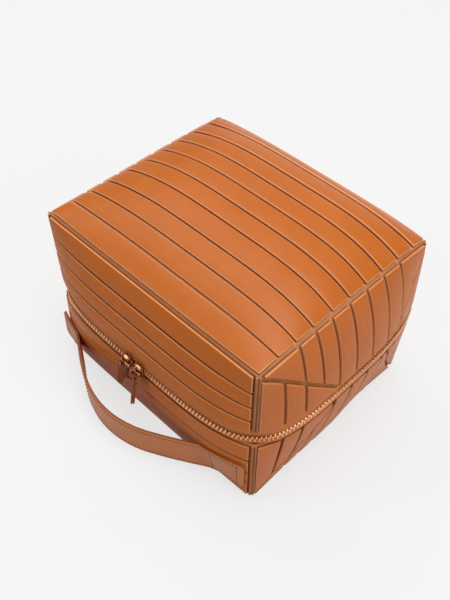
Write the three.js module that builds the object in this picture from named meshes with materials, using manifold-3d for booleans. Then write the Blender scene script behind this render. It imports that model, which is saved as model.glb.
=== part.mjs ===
// A cosmetic bag: a soft box of ground leather, covered with sewn leather strips and closed by a zip
// that runs round the front and both ends. Millimetres, +Z up, the front faces -Y, and the origin is
// the middle of the base, on the surface that the bag stands on.
import * as THREE from 'three';
import Module from 'manifold-3d';

const wasm = await Module();
wasm.setup();

// The straight edges of the box, and the height of the zip
const LENGTH = 180;
const DEPTH = 148;
const HEIGHT = 125;
const ZIP_HEIGHT = 65.6;
const HALF_LENGTH = LENGTH / 2;
const HALF_DEPTH = DEPTH / 2;

// How far each soft face stands out at its middle
const LID_RISE = 17;
const LONG_SIDE_BULGE = 11;
const END_BULGE = { right: 13.5, left: 8 };

// Below the zip the ends run back in and under: how far past the box's edge, as a share of the bulge
const END_TUCK = 0.41;
const END_TUCK_POWER = 1.35;

// The bulges fade to nothing at the edges: reach is where, and power is how late
const LID_PEAK_Y = 12;
const LID_FADE = {
  right: { reach: 96, power: 4.5 },
  left: { reach: 91, power: 3 },
  front: { reach: HALF_DEPTH + LID_PEAK_Y, power: 2.7 },
  back: { reach: 66, power: 3.5 },
};
const LONG_SIDE_FADE = { reach: HALF_LENGTH, power: 4.2 };
const END_FADE = {
  front: { reach: HALF_DEPTH, power: 3.5 },
  back: { reach: HALF_DEPTH, power: 2.8 },
};
const END_ROUNDNESS = 0.75;

// The contents push the zip up on the right end, most at the peak
const ZIP_LIFT = { right: 3, left: 0 };
const ZIP_LIFT_PEAK_Y = 15;
const ZIP_LIFT_FADE = {
  front: { reach: 75, power: 2 },
  back: { reach: HALF_DEPTH - ZIP_LIFT_PEAK_Y, power: 2 },
};

// The left end is pressed in at the zip, the lid's front left corner stands out past the box, and
// the foot of the right back corner is tucked in
const LEFT_PRESS = 4.2;
const CORNER_POINT = 2.6;
const BACK_TUCK = 3.5;
const SWAY_POWER = 3;

// Leather thicknesses and the small gaps between pieces
const WALL = 2;
const STRIP = 1.5;
const STRIP_GAP = 0.6;
const STRIP_OUT = STRIP_GAP + STRIP;
const WEB = 0.45;
const WEB_OUT = STRIP_GAP + WEB;
const GAP = 0.3;
const MITRE_GAP = 0.2;

// The strips: the grooves between them, and the bare bands along the seams
const LID_LINES = [-58.8, -44.8, -30.8, -14.8, 0.1, 15, 29.6, 44.6, 60];
const END_LINES = [-44.4, -30.9, -17.3, -1.9, 13.4, 29.4, 45.2];
const GUSSET_LINES = { front: -58.3, back: 60 };
const STRIP_COLUMNS = 3;
const GROOVE = 2.3;
const LID_FRONT_BAND = 1.5;
const LID_END_BAND = 0.8;
const LONG_SIDE_BAND = 2.6;
const GUSSET_BAND = 1.6;
const SEAM_BAND = 2.2;
const BASE_BAND = 2.6;
const LONGEST_STEP = 15;
const LONG_SIDE_STRIPS = [
  { low: 110.6, high: 123.3 },
  { low: 98, high: 107.6 },
  { low: 85.3, high: 94.8 },
  { low: 73.7, high: 81.8 },
  { low: 43.4, high: 57.5 },
  { low: BASE_BAND, high: 40.8 },
];

// On each end, a slanting band runs from every corner of the box to the zip: foot is the distance
// from the middle where it meets the zip, and bow is how much it curves
const SLANTS = {
  front: { foot: 13, bow: 1.1 },
  back: { foot: 36, bow: 1.05 },
};
const SLANT_HALF_BAND = 2.4;
const SLANT_START = 2;
const SHORTEST_STRIP = 0.6;
const END_HALVES = {
  upper: { seam: HEIGHT - SEAM_BAND, corner: HEIGHT - SLANT_START, edge: 73.7, bowing: 1 },
  lower: { seam: BASE_BAND, corner: SLANT_START, edge: 57.5, bowing: 0.92 },
};

// The zip: two tapes between the walls, and the chain of teeth in front of them
const UPPER_RIM = 72.5;
const LOWER_RIM = 58.7;
const TAPE_OUT = -0.6;
const TAPE_IN = -1.6;
const TAPE_SPLIT = 0.3;
const CHAIN_WIDTH = 5.8;
const CHAIN_IN = -0.3;
const CHAIN_OUT = 1.5;
const ZIP_END_Y = HALF_DEPTH - WALL - 2 * GAP;

// The sliders with their rings and pulls. A ring hangs on its slider's bail, aside from the middle by
// hang, with its own middle below that of the bail's bar by drop.
const SLIDERS = [
  { name: 'left', x: -5.7, hang: -1.4, drop: 0.5, ringTurn: 0.35, pullTurn: 0.75 },
  { name: 'right', x: 3.7, hang: 0, drop: 0.5, ringTurn: -0.7, pullTurn: -0.75 },
];
const SLIDER = { length: 9.2, nose: 4.4, width: 7.6, plate: 1.5 };
const BAIL = { length: 8.6, rise: 2.7, bar: 1.2, width: 2 };
const RING = { radius: 3.4, wire: 0.7, flatness: 0.8, steps: 14 };
const ARC_STEPS = 5;
const PULL = { length: 27.5, top: 6, bottom: 6.8, thickness: 1.6, hole: 1.5, margin: 2.6 };

// The handle strap: the middle of its inner face at a few places along the front, left to right, and
// how far its top edge leans out. Where a place lies behind the front's lowest strip, the strap is
// seated on that strip.
const STRAP_WIDTH = 23.5;
const STRAP_THICKNESS = 2.6;
const STRAP_STATIONS = 30;
const STRAP_ROUTE = [
  { x: -91, y: -76, z: 24.8, lean: 0 },
  { x: -77, y: -78, z: 24, lean: 0.3 },
  { x: -66, y: -84, z: 21, lean: 0.8 },
  { x: -50, y: -93.9, z: 18, lean: 0.8 },
  { x: -34, y: -101.6, z: 16, lean: 0.8 },
  { x: -18, y: -105.5, z: 15.2, lean: 0.5 },
  { x: -4, y: -105.6, z: 15, lean: 0.3 },
  { x: 12, y: -102.4, z: 15.4, lean: 0 },
  { x: 30, y: -94.8, z: 16.6, lean: 0 },
  { x: 48, y: -86, z: 18.8, lean: 0 },
  { x: 62, y: -80, z: 21.8, lean: 0 },
  { x: 74, y: -78, z: 24.2, lean: 0 },
  { x: 87, y: -76, z: 25.2, lean: 0 },
];

// Grid lines shared by the walls and the strips on them
const LONG_LINES = [-80, -66, -46, -23, 0, 23, 46, 66, 80];
const DEEP_LINES = LID_LINES;
const END_ROWS = 4;
const HALF_WALL_ROWS = 4;

const LEATHER = new THREE.MeshStandardMaterial({ color: 0xc8713a, roughness: 0.5, metalness: 0 });
const GROUND = new THREE.MeshStandardMaterial({ color: 0xa8743f, roughness: 0.9, metalness: 0 });
const TAPE = new THREE.MeshStandardMaterial({ color: 0xb87340, roughness: 0.8, metalness: 0 });
const COPPER = new THREE.MeshStandardMaterial({ color: 0xd9a07a, roughness: 0.25, metalness: 1 });

const bag = new THREE.Group();

function add(name, geometry, material) {
  const mesh = new THREE.Mesh(geometry, material);
  mesh.name = name;
  bag.add(mesh);
  return mesh;
}

// The shape of the soft box

const fade = (distance, { reach, power }) => 1 - Math.min(1, Math.abs(distance) / reach) ** power;

function lidHeight(x, y) {
  const along = fade(x, x > 0 ? LID_FADE.right : LID_FADE.left);
  const across = fade(y - LID_PEAK_Y, y < LID_PEAK_Y ? LID_FADE.front : LID_FADE.back);
  return HEIGHT + LID_RISE * along * across;
}

// A level counts the height on a box with a flat lid, and above the zip it stretches with the dome
function wallHeight(level, top) {
  if (level < ZIP_HEIGHT) return level;
  return ZIP_HEIGHT + ((level - ZIP_HEIGHT) * (top - ZIP_HEIGHT)) / (HEIGHT - ZIP_HEIGHT);
}

// How far a level lies from the zip: 0 at the zip, 1 at the base and at the lid's edge
function awayFromZip(level) {
  const reach = level < ZIP_HEIGHT ? ZIP_HEIGHT : HEIGHT - ZIP_HEIGHT;
  return Math.min(1, Math.abs(level - ZIP_HEIGHT) / reach);
}

function endSwell(level) {
  const away = awayFromZip(level);
  if (level < ZIP_HEIGHT) return 1 - (1 + END_TUCK) * away ** END_TUCK_POWER;
  return (1 - away * away) ** END_ROUNDNESS;
}

// How far a place is pushed along the bag at the left end and at the right back corner
function sway(x, y, level) {
  const share = Math.max(0, -x / HALF_LENGTH) ** SWAY_POWER;
  const press = LEFT_PRESS * (1 - awayFromZip(level));
  const front = Math.max(0, -y / HALF_DEPTH) ** SWAY_POWER;
  const point = level < ZIP_HEIGHT ? 0 : CORNER_POINT * front * awayFromZip(level);
  const backCorner = Math.max(0, x / HALF_LENGTH) * Math.max(0, y / HALF_DEPTH);
  const tuck = level < ZIP_HEIGHT ? BACK_TUCK * backCorner ** SWAY_POWER * awayFromZip(level) : 0;
  return share * (press - point) - tuck;
}

function lidPoint(x, y, out) {
  return [x + sway(x, y, HEIGHT), y, lidHeight(x, y) + out];
}

// side is -1 on the front and 1 on the back
function longSidePoint(side, x, level, out) {
  const bulge = LONG_SIDE_BULGE * fade(x, LONG_SIDE_FADE) * (1 - awayFromZip(level) ** 2);
  const z = wallHeight(level, lidHeight(x, side * HALF_DEPTH));
  return [x + sway(x, side * HALF_DEPTH, level), side * (HALF_DEPTH + out + bulge), z];
}

// How much of the zip's lift a level takes: all at the zip, none at the lower rim and at the lid
function liftShare(level) {
  if (level > ZIP_HEIGHT) return 1 - awayFromZip(level);
  return Math.max(0, (level - LOWER_RIM) / (ZIP_HEIGHT - LOWER_RIM));
}

function endLift(side, y, level) {
  const offPeak = y - ZIP_LIFT_PEAK_Y;
  const most = side > 0 ? ZIP_LIFT.right : ZIP_LIFT.left;
  return most * fade(offPeak, offPeak < 0 ? ZIP_LIFT_FADE.front : ZIP_LIFT_FADE.back) * liftShare(level);
}

// side is 1 on the right end and -1 on the left end
function endPoint(side, y, level, out) {
  const most = side > 0 ? END_BULGE.right : END_BULGE.left;
  const bulge = most * fade(y, y < 0 ? END_FADE.front : END_FADE.back) * endSwell(level);
  const z = wallHeight(level, lidHeight(side * HALF_LENGTH, y)) + endLift(side, y, level);
  return [side * (HALF_LENGTH + out + bulge) + sway(side * HALF_LENGTH, y, level), y, z];
}

// Closed solids from grids of points

function solid(points, triangles) {
  const geometry = new THREE.BufferGeometry();
  geometry.setAttribute('position', new THREE.Float32BufferAttribute(points.flat(), 3));
  geometry.setIndex(triangles);
  return geometry;
}

// A slab over a grid: point(i, j, outer) places a corner on the outer or the inner face, and
// columns, rows and the way out make a right-handed set
function slab(columns, rows, point) {
  const points = [];
  const triangles = [];
  for (const outer of [true, false]) {
    for (let i = 0; i < columns; i += 1) {
      for (let j = 0; j < rows; j += 1) points.push(point(i, j, outer));
    }
  }
  const at = (i, j, outer) => (outer ? 0 : columns * rows) + i * rows + j;
  const quad = (a, b, c, d) => triangles.push(a, b, c, a, c, d);
  const lastColumn = columns - 1;
  const lastRow = rows - 1;
  for (let i = 0; i < lastColumn; i += 1) {
    for (let j = 0; j < lastRow; j += 1) {
      quad(at(i, j, true), at(i + 1, j, true), at(i + 1, j + 1, true), at(i, j + 1, true));
      quad(at(i, j, false), at(i, j + 1, false), at(i + 1, j + 1, false), at(i + 1, j, false));
    }
    quad(at(i, 0, false), at(i + 1, 0, false), at(i + 1, 0, true), at(i, 0, true));
    quad(at(i, lastRow, true), at(i + 1, lastRow, true), at(i + 1, lastRow, false), at(i, lastRow, false));
  }
  for (let j = 0; j < lastRow; j += 1) {
    quad(at(0, j, false), at(0, j, true), at(0, j + 1, true), at(0, j + 1, false));
    const edge = (outer) => [at(lastColumn, j, outer), at(lastColumn, j + 1, outer)];
    quad(edge(true)[0], ...edge(false), edge(true)[1]);
  }
  return solid(points, triangles);
}

function spread(low, high, steps) {
  return Array.from({ length: steps + 1 }, (_, i) => low + ((high - low) * i) / steps);
}

const between = (end, lines) => [-end, ...lines, end];

// The ground leather: a lid, seven walls mitred along the box's edges, and the base

function groundLid() {
  const xs = between(HALF_LENGTH - MITRE_GAP, LONG_LINES);
  const ys = between(HALF_DEPTH - MITRE_GAP, DEEP_LINES);
  return slab(xs.length, ys.length, (i, j, outer) => {
    if (outer) return lidPoint(xs[i], ys[j], 0);
    const [x, y, z] = lidPoint(xs[i], ys[j], -WALL);
    return [x * (1 - WALL / HALF_LENGTH), y * (1 - WALL / HALF_DEPTH), z];
  });
}

// The inner face of a wall is drawn in at its sides, and under the lid, so that walls meet in mitres
function mitred([x, y, z], level, outer) {
  const underLid = Math.max(0, (level - UPPER_RIM) / (HEIGHT - UPPER_RIM));
  const drop = underLid * (outer ? MITRE_GAP : WALL + MITRE_GAP);
  return [x, y, z - drop];
}

function groundLongSide(side, low, high, steps) {
  const xs = between(HALF_LENGTH - MITRE_GAP, LONG_LINES).map((x) => -side * x);
  const levels = spread(low, high, steps);
  return slab(xs.length, levels.length, (i, j, outer) => {
    const [x, y, z] = longSidePoint(side, xs[i], levels[j], outer ? 0 : -WALL);
    const inset = outer ? 1 : 1 - WALL / HALF_LENGTH;
    return mitred([x * inset, y, z], levels[j], outer);
  });
}

function groundEnd(side, low, high) {
  const ys = between(HALF_DEPTH - MITRE_GAP, DEEP_LINES).map((y) => side * y);
  const levels = spread(low, high, END_ROWS);
  return slab(ys.length, levels.length, (i, j, outer) => {
    const [x, y, z] = endPoint(side, ys[i], levels[j], outer ? 0 : -WALL);
    const inset = outer ? 1 : 1 - WALL / HALF_DEPTH;
    return mitred([x, y * inset, z], levels[j], outer);
  });
}

function basePanel() {
  const ys = between(HALF_DEPTH - WALL - GAP, DEEP_LINES);
  const inside = (side, y) => new THREE.Vector2(endPoint(side, y, GAP, -WALL - GAP)[0], y);
  const right = ys.map((y) => inside(1, y));
  const left = ys.toReversed().map((y) => inside(-1, y));
  const outline = new THREE.Shape([...right, ...left]);
  return new THREE.ExtrudeGeometry(outline, { depth: WALL, bevelEnabled: false });
}

function addGround() {
  add('ground_lid', groundLid(), GROUND);
  add('ground_front_upper', groundLongSide(-1, UPPER_RIM, HEIGHT, HALF_WALL_ROWS), GROUND);
  add('ground_front_lower', groundLongSide(-1, GAP, LOWER_RIM, HALF_WALL_ROWS), GROUND);
  add('ground_back', groundLongSide(1, GAP, HEIGHT, 2 * HALF_WALL_ROWS), GROUND);
  for (const [name, side] of [['right', 1], ['left', -1]]) {
    add(`ground_${name}_upper`, groundEnd(side, UPPER_RIM, HEIGHT), GROUND);
    add(`ground_${name}_lower`, groundEnd(side, GAP, LOWER_RIM), GROUND);
  }
  add('base_panel', basePanel(), GROUND);
}

// The strips of the lid and of the long sides

function lidStrip(index) {
  const low = index === 0 ? LID_FRONT_BAND - HALF_DEPTH : LID_LINES[index - 1] + GROOVE / 2;
  const high = index === LID_LINES.length ? HALF_DEPTH - LID_FRONT_BAND : LID_LINES[index] - GROOVE / 2;
  const xs = between(HALF_LENGTH - LID_END_BAND, LONG_LINES);
  const ys = [low, high];
  return slab(xs.length, ys.length, (i, j, outer) => lidPoint(xs[i], ys[j], outer ? STRIP_OUT : STRIP_GAP));
}

function longSideStrip(side, { low, high }) {
  const xs = between(HALF_LENGTH - LONG_SIDE_BAND, LONG_LINES).map((x) => -side * x);
  const levels = spread(low, high, Math.ceil((high - low) / LONGEST_STEP));
  const point = (i, j, outer) => longSidePoint(side, xs[i], levels[j], outer ? STRIP_OUT : STRIP_GAP);
  return slab(xs.length, levels.length, point);
}

function addLongStrips() {
  for (let index = 0; index <= LID_LINES.length; index += 1) {
    add(`top_strip_${index + 1}`, lidStrip(index), LEATHER);
  }
  LONG_SIDE_STRIPS.forEach((strip, index) => {
    add(`front_strip_${index + 1}`, longSideStrip(-1, strip), LEATHER);
    add(`back_strip_${index + 1}`, longSideStrip(1, strip), LEATHER);
  });
}

// The strips of the ends: a middle panel that carries on the lid's strips, and a gusset of upright
// strips at each corner. The strips of one panel are joined by a thin web along their grooves.

const slantAt = (y) => (y < 0 ? SLANTS.front : SLANTS.back);

// How far along its slanting band a place lies: 0 at the box's corner, 1 at the zip and more past it
function slantShare(y, bowing) {
  const { foot, bow } = slantAt(y);
  const share = (HALF_DEPTH - Math.abs(y)) / (HALF_DEPTH - foot);
  return Math.max(0, share) ** (bow * bowing);
}

function slantPlace(share, direction, bowing) {
  const { foot, bow } = slantAt(direction);
  return direction * (HALF_DEPTH - (HALF_DEPTH - foot) * share ** (1 / (bow * bowing)));
}

function middleSpan(y, { seam, corner, edge, bowing }) {
  const toSeam = Math.sign(seam - edge);
  const slanted = corner + (edge - corner) * slantShare(y, bowing) + toSeam * SLANT_HALF_BAND;
  const inner = toSeam * Math.max(toSeam * edge, toSeam * slanted);
  return [inner, seam];
}

function gussetSpan(y, { seam, corner, edge, bowing }) {
  const toSeam = Math.sign(seam - edge);
  return [edge, corner + (edge - corner) * slantShare(y, bowing) - toSeam * SLANT_HALF_BAND];
}

// The columns of a panel: each strip from groove to groove, and the low line of the groove between
function stripColumns(lines) {
  const columns = [];
  for (let index = 0; index + 1 < lines.length; index += 1) {
    const low = lines[index] + (index === 0 ? 0 : GROOVE / 2);
    const high = lines[index + 1] - (index + 2 === lines.length ? 0 : GROOVE / 2);
    if (index > 0) columns.push({ y: lines[index], out: WEB_OUT });
    for (const y of spread(low, high, STRIP_COLUMNS)) columns.push({ y, out: STRIP_OUT });
  }
  return columns;
}

function endPanel(side, lines, half, span) {
  const columns = stripColumns(lines);
  if (side < 0) columns.reverse();
  return slab(columns.length, END_ROWS + 1, (i, j, outer) => {
    const { y, out } = columns[i];
    const [low, high] = span(y, half).sort((a, b) => a - b);
    return endPoint(side, y, low + ((high - low) * j) / END_ROWS, outer ? out : STRIP_GAP);
  });
}

function middleLines({ seam, corner, edge, bowing }) {
  const toSeam = Math.sign(seam - edge);
  const tipLevel = seam - toSeam * (SLANT_HALF_BAND + SHORTEST_STRIP);
  const tipShare = (tipLevel - corner) / (edge - corner);
  return [slantPlace(tipShare, -1, bowing), ...END_LINES, slantPlace(tipShare, 1, bowing)];
}

function gussetLines(direction, { seam, corner, edge, bowing }) {
  const toSeam = Math.sign(seam - edge);
  const endLevel = edge + toSeam * (SLANT_HALF_BAND + SHORTEST_STRIP);
  const end = slantPlace((endLevel - corner) / (edge - corner), direction, bowing);
  const inner = direction < 0 ? [GUSSET_LINES.front, END_LINES[0]] : [GUSSET_LINES.back, END_LINES.at(-1)];
  const lines = [direction * (HALF_DEPTH - GUSSET_BAND), ...inner, end];
  return lines.sort((a, b) => a - b);
}

function addEndStrips() {
  for (const [name, side] of [['right', 1], ['left', -1]]) {
    for (const [part, half] of Object.entries(END_HALVES)) {
      add(`${name}_end_${part}`, endPanel(side, middleLines(half), half, middleSpan), LEATHER);
      const front = endPanel(side, gussetLines(-1, half), half, gussetSpan);
      const back = endPanel(side, gussetLines(1, half), half, gussetSpan);
      add(`${name}_gusset_front_${part}`, front, LEATHER);
      add(`${name}_gusset_back_${part}`, back, LEATHER);
    }
  }
}

// The zip, along the left end, the front and the right end

function zipRoute() {
  const deep = [...DEEP_LINES];
  const left = [ZIP_END_Y, ...deep.toReversed()].map((y) => ({ side: -1, y }));
  const front = between(HALF_LENGTH, LONG_LINES).map((x) => ({ x }));
  const right = [...deep, ZIP_END_Y].map((y) => ({ side: 1, y }));
  return [...left, ...front, ...right];
}

function zipPoint(place, level, out) {
  if (place.side) return endPoint(place.side, place.y, level, out);
  const [x, y, z] = longSidePoint(-1, place.x, level, out);
  return [Math.abs(place.x) < HALF_LENGTH ? x : x + Math.sign(x) * out, y, z];
}

function zipBand(low, high, inner, outerFace) {
  const route = zipRoute();
  const levels = [low, high];
  return slab(route.length, 2, (i, j, outer) => zipPoint(route[i], levels[j], outer ? outerFace : inner));
}

function addZip() {
  const split = TAPE_SPLIT / 2;
  const half = CHAIN_WIDTH / 2;
  add('zip_tape_upper', zipBand(ZIP_HEIGHT + split, UPPER_RIM - GAP, TAPE_IN, TAPE_OUT), TAPE);
  add('zip_tape_lower', zipBand(LOWER_RIM + GAP, ZIP_HEIGHT - split, TAPE_IN, TAPE_OUT), TAPE);
  add('zip_chain', zipBand(ZIP_HEIGHT - half, ZIP_HEIGHT + half, CHAIN_IN, CHAIN_OUT), COPPER);
}

// Sliders, rings and pulls, drawn about the middle of a slider's plate with the way out along -Y

function manifoldOf(geometry) {
  const position = geometry.getAttribute('position');
  const index = geometry.getIndex();
  const count = index ? index.count : position.count;
  const triVerts = Uint32Array.from({ length: count }, (_, i) => (index ? index.getX(i) : i));
  const mesh = new wasm.Mesh({ numProp: 3, vertProperties: Float32Array.from(position.array), triVerts });
  mesh.merge();
  return new wasm.Manifold(mesh);
}

function joined(first, second) {
  const mesh = manifoldOf(first).add(manifoldOf(second)).getMesh();
  const geometry = new THREE.BufferGeometry();
  geometry.setAttribute('position', new THREE.Float32BufferAttribute(mesh.vertProperties, 3));
  geometry.setIndex([...mesh.triVerts]);
  return geometry;
}

function sliderPlate() {
  const { length, nose, width, plate } = SLIDER;
  const outline = new THREE.Shape();
  outline.moveTo(-length / 2, -nose / 2).lineTo(-length / 4, -width / 2).lineTo(length / 2, -width / 2);
  outline.lineTo(length / 2, width / 2).lineTo(-length / 4, width / 2).lineTo(-length / 2, nose / 2);
  return new THREE.ExtrudeGeometry(outline, { depth: plate, bevelEnabled: false }).rotateX(Math.PI / 2);
}

function sliderBail() {
  const { length, rise, bar, width } = BAIL;
  const foot = -SLIDER.plate / 2;
  const crown = SLIDER.plate + rise;
  const half = length / 2;
  const arch = new THREE.Shape();
  arch.moveTo(-half, foot).lineTo(-half + bar, foot).lineTo(-half + bar, crown - bar);
  arch.lineTo(half - bar, crown - bar).lineTo(half - bar, foot).lineTo(half, foot);
  arch.lineTo(half, crown - bar).lineTo(half - bar, crown);
  arch.lineTo(-half + bar, crown).lineTo(-half, crown - bar);
  const geometry = new THREE.ExtrudeGeometry(arch, { depth: width, bevelEnabled: false });
  return geometry.translate(0, SLIDER.plate, -width / 2).rotateX(Math.PI);
}

function ring() {
  const geometry = new THREE.TorusGeometry(RING.radius, RING.wire, ARC_STEPS, RING.steps);
  return geometry.scale(1, RING.flatness, 1).rotateY(Math.PI / 2);
}

function pull() {
  const { length, top, bottom, thickness, hole, margin } = PULL;
  const outline = new THREE.Shape();
  outline.moveTo(-top / 2, margin).lineTo(-top / 2, -margin);
  outline.lineTo(-bottom / 2, -length + bottom / 2);
  outline.absarc(0, -length + bottom / 2, bottom / 2, Math.PI, 2 * Math.PI, false);
  outline.lineTo(top / 2, -margin).lineTo(top / 2, margin);
  outline.holes.push(new THREE.Path().absarc(0, 0, hole, 0, 2 * Math.PI, true));
  const flat = { depth: thickness, bevelEnabled: false, curveSegments: ARC_STEPS };
  return new THREE.ExtrudeGeometry(outline, flat).translate(0, 0, -thickness / 2).rotateX(Math.PI / 2);
}

function addSlider({ name, x, hang, drop, ringTurn, pullTurn }) {
  const [, seatY] = longSidePoint(-1, x, ZIP_HEIGHT, CHAIN_OUT + GAP);
  const barY = seatY - SLIDER.plate - SLIDER.plate - BAIL.rise + BAIL.bar / 2;
  const ringZ = ZIP_HEIGHT - drop;
  const slider = add(`slider_${name}`, joined(sliderPlate(), sliderBail()), COPPER);
  slider.position.set(x, seatY, ZIP_HEIGHT);
  const link = add(`ring_${name}`, ring(), COPPER);
  link.position.set(x + hang, barY, ringZ);
  link.rotation.z = ringTurn;
  const tab = add(`pull_${name}`, pull(), LEATHER);
  tab.position.set(x + hang, barY, ringZ - RING.radius);
  tab.rotation.z = pullTurn;
}

// The handle strap, standing on edge in front of the lower half, with its ends sewn to the front

function handleStrap() {
  const curveOf = (place) => new THREE.CatmullRomCurve3(STRAP_ROUTE.map(place), false, 'centripetal');
  const middle = curveOf(({ x, y, z }) => new THREE.Vector3(x, y, z));
  const lean = curveOf((place) => new THREE.Vector3(place.x, place.lean, 0));
  const stations = spread(0, 1, STRAP_STATIONS).map((share) => {
    const tangent = middle.getTangent(share);
    const outward = new THREE.Vector3(tangent.y, -tangent.x, 0).normalize();
    return { centre: middle.getPoint(share), outward, lean: lean.getPoint(share).y };
  });
  const shares = [-0.5, 0, 0.5];
  return slab(stations.length, shares.length, (i, j, outer) => {
    const station = stations[i];
    const out = station.lean * shares[j];
    const z = station.centre.z + STRAP_WIDTH * shares[j];
    const x = station.centre.x + station.outward.x * out;
    const [, seat] = longSidePoint(-1, x, z, STRIP_OUT + GAP);
    const y = Math.min(station.centre.y + station.outward.y * out, seat);
    const thick = outer ? STRAP_THICKNESS : 0;
    return [x + station.outward.x * thick, y + station.outward.y * thick, z];
  });
}

addGround();
addLongStrips();
addEndStrips();
addZip();
SLIDERS.forEach(addSlider);
add('handle_strap', handleStrap(), LEATHER);

export default bag;
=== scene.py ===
# %% [markdown]
# # A cosmetic bag of leather strips
# The bag is a soft box. Suede-like ground leather forms its walls, and wide strips of smooth tan
# leather are sewn on it side by side, so that a narrow groove of ground shows between two strips. A
# metal zip runs round the front and both ends, and a flat strap on the front carries the bag. This
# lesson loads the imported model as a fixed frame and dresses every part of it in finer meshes.

# %% The frame
import math

import bmesh
import bpy
import numpy as np
from mathutils import Matrix, Vector


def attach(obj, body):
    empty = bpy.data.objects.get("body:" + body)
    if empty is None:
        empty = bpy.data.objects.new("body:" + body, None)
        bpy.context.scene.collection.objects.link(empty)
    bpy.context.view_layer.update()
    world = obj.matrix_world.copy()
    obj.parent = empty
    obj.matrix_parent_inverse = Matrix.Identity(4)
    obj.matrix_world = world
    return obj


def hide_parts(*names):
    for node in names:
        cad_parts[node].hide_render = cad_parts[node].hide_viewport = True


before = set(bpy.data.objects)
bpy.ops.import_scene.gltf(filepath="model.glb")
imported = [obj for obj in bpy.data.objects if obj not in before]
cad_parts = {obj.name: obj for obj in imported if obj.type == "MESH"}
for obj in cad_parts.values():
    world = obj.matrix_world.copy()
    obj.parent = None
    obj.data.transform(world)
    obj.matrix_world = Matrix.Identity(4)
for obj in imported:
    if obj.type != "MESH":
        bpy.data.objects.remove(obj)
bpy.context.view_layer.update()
MM = 0.001

# %% [markdown]
# ## The camera
# A camera that stands where the photographer stood lets every later step be judged against the
# picture. Its bearing, height, roll and distance were found by matching the corners of the box, so
# they are written here as plain numbers. The lens is worked out for a picture 600 pixels high.

# %% The camera
PICTURE_HEIGHT = 600
FOCAL_PIXELS = 841.7
SENSOR = 36.0
BEARING = math.radians(44.42)
TILT = math.radians(47.663)
ROLL = 0.015
BAG_IN_VIEW = Vector((5.363, 39.449, 615.259)) * MM  # the origin seen by the camera: right, down, away


def place_camera():
    back = Vector((math.sin(BEARING) * math.cos(TILT), -math.cos(BEARING) * math.cos(TILT), math.sin(TILT)))
    level = (-back).cross(Vector((0, 0, 1))).normalized()
    drop = (-back).cross(level)
    right = math.cos(ROLL) * level - math.sin(ROLL) * drop
    down = math.sin(ROLL) * level + math.cos(ROLL) * drop
    stand = -(right * BAG_IN_VIEW.x + down * BAG_IN_VIEW.y - back * BAG_IN_VIEW.z)
    lens = bpy.data.cameras.new("camera")
    lens.sensor_fit = "VERTICAL"
    lens.sensor_height = SENSOR
    lens.lens = SENSOR * FOCAL_PIXELS / PICTURE_HEIGHT
    lens.clip_start = 0.05
    camera = bpy.data.objects.new("camera", lens)
    turn = Matrix((right, -down, back)).transposed().to_4x4()
    camera.matrix_world = Matrix.Translation(stand) @ turn
    bpy.context.collection.objects.link(camera)
    bpy.context.scene.camera = camera
    return camera


camera = place_camera()
print("the camera stands at", [round(v, 3) for v in camera.matrix_world.translation])

# %% [markdown]
# ## The shape of the soft box
# Every face of the bag is a flat panel that swells where the bag is full. One formula for each face
# gives a smooth surface that all pieces share: the ground lies on it, and the strips stand over it.
# The sizes are nearly those of the frame, in millimetres. Only the right end is shaped a little more
# finely, with a tuck towards the base and a lift at the zip. A level counts the height on a box with a
# flat lid, and above the zip it stretches with the dome.

# %% The sizes of the soft box
HALF_LENGTH = 90.0
HALF_DEPTH = 74.0
HEIGHT = 125.0
ZIP_HEIGHT = 65.6
LID_RISE = 17.0
LID_PEAK_Y = 12.0
LONG_SIDE_BULGE = 11.0
END_BULGE = {1: 13.5, -1: 8.0}
END_TUCK = {"front": 0.18, "back": 0.41}
TUCK_TURN = (-5.0, 35.0)  # where along an end its tuck grows from the front's to the back's
END_TUCK_POWER = 1.35
END_ROUNDNESS = 0.75
LEFT_PRESS = 4.2
CORNER_POINT = 2.6
BACK_TUCK = 3.5
SWAY_POWER = 3
LOWER_RIM = 58.7
UPPER_RIM = 72.5
ZIP_LIFT = {1: 6.0, -1: 0.0}  # how far the contents push up the right and the left end
LOWER_LIFT = 1.4  # the wall below the zip is pushed up more than the one above
ZIP_LIFT_PEAK_Y = 15.0
# How far from its peak each swelling reaches, and the power that makes it blunt
LID_FADE = {"right": (96, 4.5), "left": (91, 3), "front": (HALF_DEPTH + LID_PEAK_Y, 2.7), "back": (66, 3.5)}
LONG_SIDE_FADE = (HALF_LENGTH, 4.2)
END_FADE = {"front": (HALF_DEPTH, 3.5), "back": (HALF_DEPTH, 2.8)}
ZIP_LIFT_FADE = {"front": (75, 2), "back": (HALF_DEPTH - ZIP_LIFT_PEAK_Y, 2)}
print("the box before it swells:", 2 * HALF_LENGTH, "x", 2 * HALF_DEPTH, "x", HEIGHT, "mm")


# %% How the faces swell
def fade(distance, reach, power):
    return 1 - np.minimum(1, np.abs(distance) / reach) ** power


def two_fades(distance, before, after):
    """Fades to either side of a peak, each with its own reach and power."""
    return np.where(distance < 0, fade(distance, *before), fade(distance, *after))


def lid_height(x, y):
    along = two_fades(x, LID_FADE["left"], LID_FADE["right"])
    across = two_fades(y - LID_PEAK_Y, LID_FADE["front"], LID_FADE["back"])
    return HEIGHT + LID_RISE * along * across


def wall_height(level, top):
    """The height of a level on a wall whose upper edge is at top."""
    stretch = (top - ZIP_HEIGHT) / (HEIGHT - ZIP_HEIGHT)
    return np.where(level < ZIP_HEIGHT, level, ZIP_HEIGHT + (level - ZIP_HEIGHT) * stretch)


def away_from_zip(level):
    """0 at the zip, and 1 at the base and at the lid."""
    reach = np.where(level < ZIP_HEIGHT, ZIP_HEIGHT, HEIGHT - ZIP_HEIGHT)
    return np.minimum(1, np.abs(level - ZIP_HEIGHT) / reach)


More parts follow.
